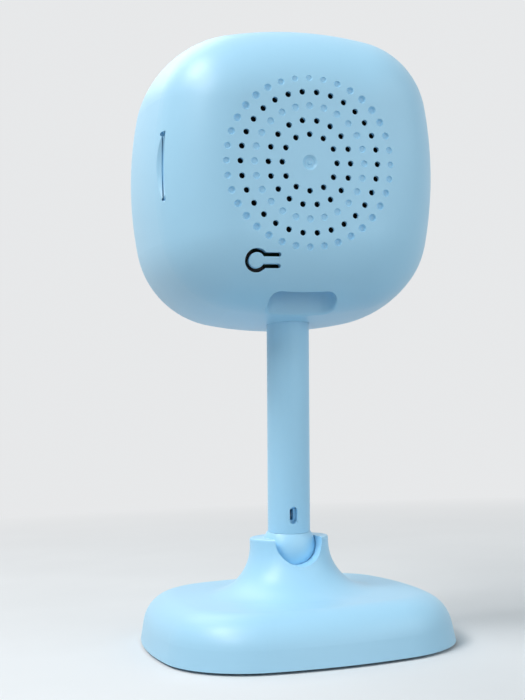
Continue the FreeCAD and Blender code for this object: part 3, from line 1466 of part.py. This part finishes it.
def make_base_shell(doc):
    body = new_body(doc, "base_shell")
    spine = new_sketch(body, "base_spine", "XY_Plane")
    squircle(spine, D.base_half, D.base_side_radius, D.base_corner_radius)
    slope_sine = sine(D.base_slope)
    slope_cosine = cosine(D.base_slope)
    round_z = D.base_top - D.shoulder_round
    tangent_z = round_z + D.shoulder_round * slope_sine
    tangent_x = D.base_half - (tangent_z - D.base_gap) * tangent(D.base_slope)
    core_x = tangent_x - D.shoulder_round * slope_cosine
    inner_round = D.shoulder_round - D.base_wall
    inner_tangent_x = core_x + inner_round * slope_cosine
    inner_tangent_z = round_z + inner_round * slope_sine
    inner_low_x = inner_tangent_x + (inner_tangent_z - D.base_gap) * tangent(D.base_slope)
    profile = new_sketch(body, "base_profile", "XZ_Plane")
    outline(profile, [
        (inner_low_x, D.base_gap),
        (D.base_half, D.base_gap),
        (tangent_x, tangent_z, D.shoulder_round, 1),
        (core_x, D.base_top),
        (core_x, INNER_TOP, inner_round, -1),
        (inner_tangent_x, inner_tangent_z),
    ])
    sweep(body, profile, spine)
    inset = D.base_half - core_x
    bore_foot = D.collar_radius + D.neck_round - 1.5
    core = new_sketch(body, "base_core", "XY_Plane", D.base_top)
    squircle(core, core_x, D.base_side_radius - inset, D.base_corner_radius - inset)
    circle(core, bore_foot)
    pad(body, core, D.base_wall, reverse=True)

    # The neck flares out of the top and ends in the collar, whose lip closes over the ball.
    rim_z = D.ball_height + D.rim_rise
    lip_radius = root(SOCKET_RADIUS * SOCKET_RADIUS - D.rim_rise * D.rim_rise)
    step_drop = D.ball_height - D.seat_step
    step_radius = root(SOCKET_RADIUS * SOCKET_RADIUS - step_drop * step_drop)
    foot_x = D.collar_radius + D.neck_round
    neck = new_sketch(body, "neck", "XZ_Plane")
    outline(neck, [
        (D.seat_bore, INNER_TOP),
        (foot_x, INNER_TOP),
        (foot_x, D.base_top, D.neck_round, -1),
        (D.collar_radius, D.base_top + D.neck_round),
        (D.collar_radius, rim_z - D.collar_round, D.collar_round, 1),
        (D.collar_radius - D.collar_round, rim_z),
        (lip_radius, rim_z, SOCKET_RADIUS, -1),
        (SOCKET_RADIUS, D.ball_height, SOCKET_RADIUS, -1),
        (step_radius, D.seat_step),
        (D.seat_bore, D.seat_step),
    ])
    turn(body, neck)

    notch = new_sketch(body, "notch", "XZ_Plane")
    notch_z = D.ball_height - D.notch_drop + D.notch_half
    outline(notch, [
        (-D.notch_half, notch_z, D.notch_half, 1),
        (0, D.ball_height - D.notch_drop, D.notch_half, 1),
        (D.notch_half, notch_z),
        (D.notch_half, rim_z + 1),
        (-D.notch_half, rim_z + 1),
    ])
    pocket(body, notch, D.collar_radius + D.neck_round)

    posts = new_sketch(body, "base_posts", "XY_Plane", INNER_TOP)
    for x, y in base_corners():
        circle(posts, D.base_post_radius, x, y)
    pad(body, posts, INNER_TOP - PLATE_TOP, reverse=True)
    pilots = new_sketch(body, "base_pilots", "XY_Plane", PLATE_TOP)
    for x, y in base_corners():
        circle(pilots, D.screw_radius + D.fit_gap, x, y)
    pocket(body, pilots, D.pilot_depth, reverse=True)
    retainer = new_sketch(body, "retainer_pilots", "XY_Plane", INNER_TOP)
    for x, y in retainer_points():
        circle(retainer, D.screw_radius + D.fit_gap, x, y)
    pocket(body, retainer, D.pilot_depth, reverse=True)
    return body


def base_corners():
    return [(x, y) for x in (-BASE_POST, BASE_POST)
            for y in (-BASE_POST, BASE_POST)]


def retainer_points():
    """Two screws, at the sides away from the notch."""
    return [(-D.retainer_screw_circle, as_size(0)), (D.retainer_screw_circle, as_size(0))]


def upright_screws(doc, label, points, head_z, length, head_height):
    body = new_body(doc, label)
    heads = new_sketch(body, label + "_heads", "XY_Plane", head_z)
    shanks = new_sketch(body, label + "_shanks", "XY_Plane", head_z)
    for x, y in points:
        circle(heads, D.screw_head_radius, x, y)
        circle(shanks, D.screw_radius, x, y)
    pad(body, heads, head_height, reverse=True)
    pad(body, shanks, length)
    return body


def base_plate_outline(sketch, half):
    inset = D.base_half - half
    squircle(sketch, half, D.base_side_radius - inset, D.base_corner_radius - inset)


def make_base_inside(doc):
    """Cover plate, ballast, rubber pad and the screws that hold the plate."""
    plate_half = D.base_half - D.base_wall - 2 * tangent(D.base_slope) - D.plate_gap
    cover = new_body(doc, "base_plate")
    face = new_sketch(cover, "plate_face", "XY_Plane", D.base_gap)
    base_plate_outline(face, plate_half)
    pad(cover, face, D.plate_thickness)
    seat = new_sketch(cover, "pad_seat", "XY_Plane", D.base_gap)
    base_plate_outline(seat, D.base_half - D.pad_inset + D.fit_gap)
    pocket(cover, seat, D.pad_thickness - D.base_gap, reverse=True)
    holes = new_sketch(cover, "plate_holes", "XY_Plane", D.base_gap)
    sinks = new_sketch(cover, "plate_sinks", "XY_Plane", D.base_gap)
    for x, y in base_corners():
        circle(holes, D.screw_radius + D.fit_gap, x, y)
        circle(sinks, D.screw_head_radius + D.slip_gap, x, y)
    pocket(cover, holes, reverse=True)
    sink_depth = D.pad_thickness - D.base_gap + D.screw_head_height / 2 + D.fit_gap
    pocket(cover, sinks, sink_depth, reverse=True)

    rubber = new_body(doc, "base_pad")
    sole = new_sketch(rubber, "pad_sole", "XY_Plane")
    base_plate_outline(sole, D.base_half - D.pad_inset)
    pad(rubber, sole, D.pad_thickness)

    ballast = new_body(doc, "ballast_plate")
    slab = new_sketch(ballast, "ballast_slab", "XY_Plane", PLATE_TOP)
    base_plate_outline(slab, D.base_half - D.ballast_inset)
    circle(slab, D.ballast_bore)
    pad(ballast, slab, D.ballast_thickness)

    head_z = D.base_gap + sink_depth
    plate_screws = upright_screws(doc, "base_screws", base_corners(), head_z,
                                  PLATE_TOP - head_z + D.pilot_depth - 0.5,
                                  D.screw_head_height / 2)
    return [cover, rubber, ballast, plate_screws]


def make_ball_seat(doc):
    """Cup under the ball, the conical spring that presses it up, and the retainer below."""
    inner = SOCKET_RADIUS
    outer = inner + D.seat_thickness
    low = D.ball_height
    sine_edge, cosine_edge = sine(D.seat_angle), cosine(D.seat_angle)
    opening = D.seat_opening

    def below(radius, out):
        return low - root(radius * radius - out * out)
    seat = stem_piece(doc, "ball_seat", [
        (opening, below(outer, opening), outer, 1),
        (outer * sine_edge, low - outer * cosine_edge),
        (inner * sine_edge, low - inner * cosine_edge, inner, -1),
        (opening, below(inner, opening)),
    ], None)
    spring_top = below(outer, D.spring_inner) - 0.1
    hub_top = spring_top - D.spring_rise - D.spring_thickness
    spring_outer = D.seat_bore - D.spring_gap
    spring = stem_piece(doc, "seat_spring", [
        (D.spring_inner, spring_top - D.spring_thickness),
        (spring_outer, hub_top),
        (spring_outer, hub_top + D.spring_thickness),
        (D.spring_inner, spring_top),
    ], None)
    retainer_low = INNER_TOP - D.retainer_thickness
    retainer = stem_piece(doc, "seat_retainer", [
        (1.5, retainer_low),
        (D.retainer_radius, retainer_low),
        (D.retainer_radius, INNER_TOP),
        (D.seat_bore - D.slip_gap, INNER_TOP),
        (D.seat_bore - D.slip_gap, hub_top),
        (D.seat_bore - 1.6, hub_top),
        (D.seat_bore - 1.6, INNER_TOP),
        (1.5, INNER_TOP),
    ], None)
    holes = new_sketch(retainer, "retainer_holes", "XY_Plane", retainer_low)
    for x, y in retainer_points():
        circle(holes, D.screw_radius + D.fit_gap, x, y)
    pocket(retainer, holes, reverse=True)
    retainer_screws = upright_screws(doc, "retainer_screws", retainer_points(), retainer_low,
                                     D.retainer_thickness + D.pilot_depth - 0.5,
                                     D.screw_head_height)
    return [seat, spring, retainer, retainer_screws]


# ---------------------------------------------------------------- the whole camera

def make_camera(doc):
    board_points = board_corners(D.board_post_offset)
    return [
        make_rear_shell(doc),
        make_reset_key(doc),
        make_front_bezel(doc),
        make_front_window(doc),
        *make_speaker(doc),
        make_main_board(doc),
        make_power_socket(doc),
        make_card_socket(doc),
        make_card_slider(doc),
        *make_reset_switch(doc),
        *make_chips(doc),
        screws(doc, "board_screws", board_points, BOARD_FRONT, 5.2),
        *make_lens(doc),
        *make_filter_switch(doc),
        *make_front_board(doc),
        *make_ribbon(doc),
        make_antenna(doc),
        *make_stem(doc),
        make_base_shell(doc),
        *make_base_inside(doc),
        *make_ball_seat(doc),
    ]


def check_document(doc):
    for item in doc.Objects:
        if "Invalid" in item.State or "Error" in item.State:
            raise ValueError(f"{item.Name} failed: {item.State}")


def export(pieces):
    os.makedirs("parts", exist_ok=True)
    for piece in pieces:
        shape = piece.Shape
        if shape.isNull() or not shape.isValid() or not shape.Solids:
            raise ValueError(f"{piece.Label} has no valid solid")
        shape.exportStep(f"parts/{piece.Label}.step")


def main():
    doc = FreeCAD.newDocument("security_camera")
    fill_sheet(doc)
    pieces = make_camera(doc)
    doc.recompute()
    check_document(doc)
    export(pieces)


main()
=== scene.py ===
import json
import math

import bpy
from mathutils import Euler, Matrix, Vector

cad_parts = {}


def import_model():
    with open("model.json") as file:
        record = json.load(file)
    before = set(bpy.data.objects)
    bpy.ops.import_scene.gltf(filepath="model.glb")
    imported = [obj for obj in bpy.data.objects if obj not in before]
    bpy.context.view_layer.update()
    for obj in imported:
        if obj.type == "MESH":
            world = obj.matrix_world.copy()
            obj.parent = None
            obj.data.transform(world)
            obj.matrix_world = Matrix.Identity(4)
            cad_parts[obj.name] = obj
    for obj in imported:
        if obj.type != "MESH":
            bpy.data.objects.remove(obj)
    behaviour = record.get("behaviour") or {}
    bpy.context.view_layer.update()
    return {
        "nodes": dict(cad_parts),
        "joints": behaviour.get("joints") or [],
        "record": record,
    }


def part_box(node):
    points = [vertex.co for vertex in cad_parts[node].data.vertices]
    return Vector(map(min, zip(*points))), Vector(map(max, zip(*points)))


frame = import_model()
nodes = frame["nodes"]
joints = {joint["name"]: joint for joint in frame["joints"]}

# ---------------------------------------------------------------- the lens, from the frame

# The speaker's cone moves along the depth of the head, and the lens looks along it too.
LENS_AXIS = Vector(joints["speaker_cone_travel"]["axis"])
HOOD_MIDDLE = sum(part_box("lens_hood"), Vector()) / 2
CLEAR_RADIUS = 0.0066
CLEAR_EDGE = 0.00005

# ---------------------------------------------------------------- materials

# Indices of refraction. The window's clear circle, the lenses and the filter's glasses are coated
# and reflect less, as if their index were lower than that of the bare material.
PLASTIC_INDEX, WINDOW_INDEX, RUBBER_INDEX = 1.49, 1.50, 1.52
COATED_WINDOW_INDEX, COATED_GLASS_INDEX = 1.2, 1.33

# Numbers of the sockets of Blender's mix nodes, several of which share a name.
MIX_FACTOR, MIX_FIRST, MIX_SECOND, MIX_RESULT = 0, 6, 7, 2
SHADER_FACTOR, SHADER_FIRST, SHADER_SECOND = 0, 1, 2


class Nodes:
    """Short calls for one material's node tree."""

    def __init__(self, name):
        self.material = bpy.data.materials.new(name)
        self.material.use_nodes = True
        self.tree = self.material.node_tree
        self.shader = self.tree.nodes["Principled BSDF"]
        self.place = self.add("ShaderNodeTexCoord").outputs["Object"]

    def add(self, kind, **settings):
        node = self.tree.nodes.new(kind)
        for key, value in settings.items():
            setattr(node, key, value)
        return node

    def link(self, source, target):
        self.tree.links.new(source, target)

    def set(self, **values):
        for key, value in values.items():
            self.shader.inputs[key.replace("_", " ")].default_value = value

    def noise(self, size, detail=2.0, roughness=0.5, place=None):
        """Noise whose features are about size metres across."""
        node = self.add("ShaderNodeTexNoise")
        node.inputs["Scale"].default_value = 1 / size
        node.inputs["Detail"].default_value = detail
        node.inputs["Roughness"].default_value = roughness
        self.link(place or self.place, node.inputs["Vector"])
        return node.outputs["Fac"]

    def spread(self, value, low, high, start=0.3, end=0.7):
        """Maps value from start..end, where most of a noise lies, to low..high."""
        node = self.add("ShaderNodeMapRange")
        for key, number in (("From Min", start), ("From Max", end), ("To Min", low),
                            ("To Max", high)):
            node.inputs[key].default_value = number
        self.link(value, node.inputs["Value"])
        return node.outputs["Result"]

    def between(self, value, first, second):
        """A colour between two, by value."""
        node = self.add("ShaderNodeMix", data_type="RGBA")
        node.inputs[MIX_FIRST].default_value = (*first, 1)
        node.inputs[MIX_SECOND].default_value = (*second, 1)
        self.link(value, node.inputs[MIX_FACTOR])
        return node.outputs[MIX_RESULT]

    def vary_colour(self, pattern, first, second):
        """Gives the surface colours between two, by a noise."""
        colour = self.between(self.spread(pattern, 0, 1), first, second)
        self.link(colour, self.shader.inputs["Base Color"])

    def vary_roughness(self, pattern, low, high):
        """Gives the surface a roughness between two, by a noise."""
        self.link(self.spread(pattern, low, high), self.shader.inputs["Roughness"])

    def bump(self, height, distance, strength):
        """Raises the surface by up to distance metres, by a pattern."""
        node = self.add("ShaderNodeBump")
        node.inputs["Distance"].default_value = distance
        node.inputs["Strength"].default_value = strength
        self.link(height, node.inputs["Height"])
        self.link(node.outputs["Normal"], self.shader.inputs["Normal"])

    def distance(self, point=(0, 0, 0), axis=None):
        """How far a place of the surface is from a point, or from an axis through it."""
        offset = self.add("ShaderNodeVectorMath", operation="SUBTRACT")
        offset.inputs[1].default_value = point
        self.link(self.place, offset.inputs[0])
        if axis is not None:
            cross = self.add("ShaderNodeVectorMath", operation="CROSS_PRODUCT")
            cross.inputs[1].default_value = axis
            self.link(offset.outputs["Vector"], cross.inputs[0])
            offset = cross
        length = self.add("ShaderNodeVectorMath", operation="LENGTH")
        self.link(offset.outputs["Vector"], length.inputs[0])
        return length.outputs["Value"]

    def mix_in(self, factor, other):
        """Mixes another shader's output into the surface, by a factor."""
        mix = self.add("ShaderNodeMixShader")
        self.link(factor, mix.inputs[SHADER_FACTOR])
        self.link(self.shader.outputs["BSDF"], mix.inputs[SHADER_FIRST])
        self.link(other, mix.inputs[SHADER_SECOND])
        self.link(mix.outputs["Shader"], self.tree.nodes["Material Output"].inputs["Surface"])


def linear(*srgb):
    """Blender's linear colour for an sRGB one, both from 0 to 1."""
    return tuple(c / 12.92 if c <= 0.04045 else ((c + 0.055) / 1.055) ** 2.4 for c in srgb)


def shade(colour, factor):
    return tuple(min(1, c * factor) for c in colour)


def moulded(name, colour, roughness, grain, depth, mottle=0.02, coat=0.0):
    """Moulded plastic: a spark-eroded grain, slight mottling and uneven sheen.

    grain is how wide the grain is and depth how deep, in metres."""
    look = Nodes(name)
    mottling = look.noise(size=0.018, detail=3)
    look.vary_colour(mottling, shade(colour, 1 - mottle), shade(colour, 1 + mottle))
    fine = look.noise(grain, detail=4, roughness=0.6)
    look.vary_roughness(fine, roughness - 0.05, roughness + 0.05)
    look.bump(fine, depth, strength=0.5)
    look.set(IOR=PLASTIC_INDEX, Coat_Weight=coat)
    return look.material


def metal(name, colour, roughness, stretch, depth):
    """Metal with a fine noise, which stretch packs along an axis, so that lines lie across it.

    depth is how deep the noise goes, in metres."""
    look = Nodes(name)
    mapping = look.add("ShaderNodeMapping")
    mapping.inputs["Scale"].default_value = stretch
    look.link(look.place, mapping.inputs["Vector"])
    lines = look.noise(size=0.0006, detail=3, roughness=0.6, place=mapping.outputs["Vector"])
    look.vary_colour(lines, shade(colour, 0.86), shade(colour, 1.06))
    look.vary_roughness(lines, roughness - 0.06, roughness + 0.08)
    look.bump(lines, depth, strength=0.4)
    look.set(Metallic=1.0)
    return look.material


def rubber(name, colour, grain, depth):
    """Rubber with a dull skin, whose grain is grain metres wide and depth metres deep."""
    look = Nodes(name)
    fine = look.noise(grain, detail=5, roughness=0.65)
    look.vary_colour(fine, shade(colour, 0.7), shade(colour, 1.35))
    look.vary_roughness(fine, 0.72, 0.9)
    look.bump(fine, depth, strength=0.6)
    look.set(IOR=RUBBER_INDEX)
    return look.material


def circuit_board(name):
    """Solder mask over faint tracks."""
    look = Nodes(name)
    turned = look.add("ShaderNodeMapping")
    turned.inputs["Rotation"].default_value = (math.radians(90), 0, 0)
    look.link(look.place, turned.inputs["Vector"])
    tracks = look.add("ShaderNodeTexBrick", offset=0.37)
    for key, number in (("Scale", 260.0), ("Mortar Size", 0.03), ("Brick Width", 0.9),
                        ("Row Height", 0.22), ("Mortar Smooth", 0.2)):
        tracks.inputs[key].default_value = number
    look.link(turned.outputs["Vector"], tracks.inputs["Vector"])
    height = tracks.outputs["Fac"]
    greens = look.between(height, (0.012, 0.075, 0.035), (0.03, 0.15, 0.07))
    look.link(greens, look.shader.inputs["Base Color"])
    look.vary_roughness(look.noise(size=0.0004, detail=3), 0.28, 0.4)
    look.bump(height, 0.00003, strength=0.6)
    return look.material


def glass(name, colour):
    """Glass with an anti-reflection coating, whose faint reflection is violet."""
    look = Nodes(name)
    look.set(Base_Color=(*colour, 1), Roughness=0.02, IOR=COATED_GLASS_INDEX,
             Transmission_Weight=1.0, Specular_Tint=(0.62, 0.50, 1.0, 1))
    look.bump(look.noise(size=0.004), 0.000002, strength=0.3)
    return look.material


def window_panel(name):
    """Black print on the inside of a clear panel, left open in a circle before the lens."""
    look = Nodes(name)
    haze = look.noise(size=0.0008, detail=4, roughness=0.6)
    look.vary_colour(haze, (0.004, 0.004, 0.005), (0.007, 0.007, 0.008))
    look.vary_roughness(haze, 0.05, 0.08)
    look.set(IOR=WINDOW_INDEX, Specular_IOR_Level=0.3)
    see_through = look.add("ShaderNodeBsdfPrincipled")
    for key, value in (("Base Color", (0.9, 0.93, 0.95, 1)), ("Roughness", 0.02),
                       ("Transmission Weight", 1.0), ("IOR", COATED_WINDOW_INDEX)):
        see_through.inputs[key].default_value = value
    from_axis = look.distance(HOOD_MIDDLE, LENS_AXIS)
    clear = look.spread(from_axis, low=1, high=0, start=CLEAR_RADIUS, end=CLEAR_RADIUS + CLEAR_EDGE)
    look.mix_in(clear, see_through.outputs["BSDF"])
    return look.material


def cone_paper(name, colour):
    """Coated speaker paper with faint, uneven lines."""
    look = Nodes(name)
    lines = look.add("ShaderNodeTexWave", wave_type="RINGS", rings_direction="Y")
    lines.inputs["Scale"].default_value = 600.0
    lines.inputs["Distortion"].default_value = 1.5
    look.link(look.place, lines.inputs["Vector"])
    height = lines.outputs["Fac"]
    greys = look.between(height, shade(colour, 0.8), shade(colour, 1.2))
    look.link(greys, look.shader.inputs["Base Color"])
    look.bump(height, 0.00003, strength=0.5)
    look.set(Roughness=0.85)
    return look.material


SHELL = linear(0.685, 0.880, 0.985)
LOOKS = {
    "shell": moulded("shell_plastic", SHELL, 0.38, 0.00016, 0.000010, mottle=0.012),
    "window": window_panel("window_panel"),
    "black_plastic": moulded("black_plastic", linear(0.09, 0.09, 0.10), 0.5, 0.00015, 0.00001,
                             mottle=0.1),
    "switch_plastic": moulded("switch_plastic", linear(0.86, 0.84, 0.77), 0.45, 0.0002, 0.00001),
    "grey_plastic": moulded("grey_plastic", linear(0.70, 0.75, 0.79), 0.5, 0.0002, 0.00002),
    "rubber": rubber("black_rubber", linear(0.12, 0.12, 0.125), 0.0003, 0.00002),
    "thermal_rubber": rubber("thermal_rubber", linear(0.55, 0.64, 0.72), 0.0004, 0.00003),
    "steel": metal("turned_steel", (0.55, 0.56, 0.58), 0.34, (1, 1, 6), 0.000004),
    "plated": metal("plated_steel", (0.66, 0.67, 0.69), 0.22, (1, 4, 1), 0.000003),
    "iron": metal("coated_iron", (0.12, 0.12, 0.13), 0.5, (1, 1, 1), 0.00002),
    "aluminium": metal("rolled_aluminium", (0.70, 0.71, 0.73), 0.36, (6, 1, 1), 0.000004),
    "copper": metal("copper", (0.72, 0.38, 0.20), 0.32, (1, 1, 3), 0.000004),
    "board": circuit_board("solder_mask"),
    "chip": moulded("chip_resin", linear(0.13, 0.13, 0.14), 0.45, 0.0001, 0.000008, mottle=0.08),
    "clear_glass": glass("coated_glass", (0.93, 0.95, 0.98)),
    "tinted_glass": glass("tinted_glass", (0.45, 0.80, 0.85)),
    "led_resin": moulded("led_resin", linear(0.30, 0.22, 0.28), 0.18, 0.0004, 0.000003,
                         mottle=0.1, coat=0.6),
    "cone": cone_paper("cone_paper", linear(0.14, 0.14, 0.15)),
    "ribbon": moulded("ribbon_film", linear(0.88, 0.88, 0.86), 0.35, 0.0005, 0.000006),
}

for part in frame["record"]["subparts"]:
    mesh = nodes[part["node"]].data
    mesh.materials.clear()
    mesh.materials.append(LOOKS[part["material_slot"]])

# ---------------------------------------------------------------- floor and background

BACKGROUND = (0.80, 0.81, 0.82)
SKY = (0.84, 0.95, 1.0)
SKY_STRENGTH = 0.25
FLOOR_RADIUS, FLOOR_SIDES = 8, 96
# The colour that the floor throws back on the object, darker than the floor as it is seen.
FLOOR_BOUNCE = (0.42, 0.43, 0.44)
# How far from the origin the floor starts to fade, and where only the background is left.
FADE_START, FADE_END = 0.08, 0.45


def seen_directly(tree):
    """One for rays that show a surface to the camera, straight or in a mirror or a glass."""
    path = tree.nodes.new("ShaderNodeLightPath")
    seen = path.outputs["Is Camera Ray"]
    for name in ("Is Glossy Ray", "Is Transmission Ray"):
        either = tree.nodes.new("ShaderNodeMath")
        either.operation = "MAXIMUM"
        tree.links.new(seen, either.inputs[0])
        tree.links.new(path.outputs[name], either.inputs[1])
        seen = either.outputs["Value"]
    return seen


def floor():
    """A pale floor that holds the shadow near the camera and fades into the pale background."""
    bpy.ops.mesh.primitive_circle_add(vertices=FLOOR_SIDES, radius=FLOOR_RADIUS, fill_type="NGON")
    surface = bpy.context.object
    surface.name = "floor"
    look = Nodes("floor_paper")
    seen = seen_directly(look.tree)
    clouds = look.spread(look.noise(size=0.05, detail=3), 0, 1)
    paper = look.between(clouds, (0.82, 0.83, 0.84), (0.85, 0.86, 0.87))
    colour = look.add("ShaderNodeMix", data_type="RGBA")
    colour.inputs[MIX_FIRST].default_value = (*FLOOR_BOUNCE, 1)
    look.link(paper, colour.inputs[MIX_SECOND])
    look.link(seen, colour.inputs[MIX_FACTOR])
    look.link(colour.outputs[MIX_RESULT], look.shader.inputs["Base Color"])
    look.set(Roughness=0.95, Specular_IOR_Level=0.1)
    far = look.add("ShaderNodeMath", operation="MULTIPLY")
    fade = look.spread(look.distance(), low=0, high=1, start=FADE_START, end=FADE_END)
    look.link(fade, far.inputs[0])
    look.link(seen, far.inputs[1])
    glow = look.add("ShaderNodeEmission")
    glow.inputs["Color"].default_value = (*BACKGROUND, 1)
    look.mix_in(far.outputs["Value"], glow.outputs["Emission"])
    surface.data.materials.append(look.material)


def world():
    """Soft light from all round; seen directly it is the pale background."""
    made = bpy.data.worlds.new("studio")
    made.use_nodes = True
    tree = made.node_tree
    light = tree.nodes["Background"]
    light.inputs["Color"].default_value = (*SKY, 1)
    light.inputs["Strength"].default_value = SKY_STRENGTH
    pale = tree.nodes.new("ShaderNodeBackground")
    pale.inputs["Color"].default_value = (*BACKGROUND, 1)
    mix = tree.nodes.new("ShaderNodeMixShader")
    tree.links.new(seen_directly(tree), mix.inputs[SHADER_FACTOR])
    tree.links.new(light.outputs["Background"], mix.inputs[SHADER_FIRST])
    tree.links.new(pale.outputs["Background"], mix.inputs[SHADER_SECOND])
    tree.links.new(mix.outputs["Shader"], tree.nodes["World Output"].inputs["Surface"])
    bpy.context.scene.world = made


# ---------------------------------------------------------------- lamps and camera

WHITE, COOL = (1, 1, 1), (0.90, 0.97, 1.0)

# name, place, height of the point over the origin that it faces, diameter, watts, colour
LAMPS = (
    ("key", (0.40, 0.05, 0.60), 0.08, 0.26, 2.25, WHITE),
    ("side", (0.45, 0.30, 0.45), 0.08, 0.25, 1.2, WHITE),
    ("fill", (-0.42, 0.35, 0.30), 0.07, 0.50, 0.8, COOL),
    ("low", (-0.20, 0.60, 0.15), 0.08, 0.40, 0.5, WHITE),
    ("front", (0.15, -0.45, 0.62), 0.08, 0.50, 1.2, WHITE),
)

# The view from behind and a little below the head: place, turn in degrees, sensor and lens in
# millimetres, and the nearest distance that is drawn.
VIEW_PLACE = (0.06402, 0.19712, 0.03991)
VIEW_TURN = (95.27, 2.23, 163.28)
VIEW_SENSOR, VIEW_LENS = 36, 51.43
VIEW_NEAREST = 0.01


def lamp(name, place, aim_height, diameter, power, colour):
    data = bpy.data.lights.new(name, "AREA")
    data.shape = "DISK"
    data.size = diameter
    data.energy = power
    data.color = colour
    light = bpy.data.objects.new(name, data)
    bpy.context.collection.objects.link(light)
    light.location = place
    direction = Vector((0, 0, aim_height)) - Vector(place)
    light.rotation_euler = direction.to_track_quat("-Z", "Y").to_euler()


def camera():
    data = bpy.data.cameras.new("camera")
    data.sensor_width = VIEW_SENSOR
    data.lens = VIEW_LENS
    data.clip_start = VIEW_NEAREST
    made = bpy.data.objects.new("camera", data)
    bpy.context.collection.objects.link(made)
    made.location = VIEW_PLACE
    made.rotation_euler = Euler([math.radians(angle) for angle in VIEW_TURN], "XYZ")
    bpy.context.scene.camera = made


floor()
world()
camera()
for settings in LAMPS:
    lamp(*settings)

bpy.context.scene.view_settings.view_transform = "Standard"
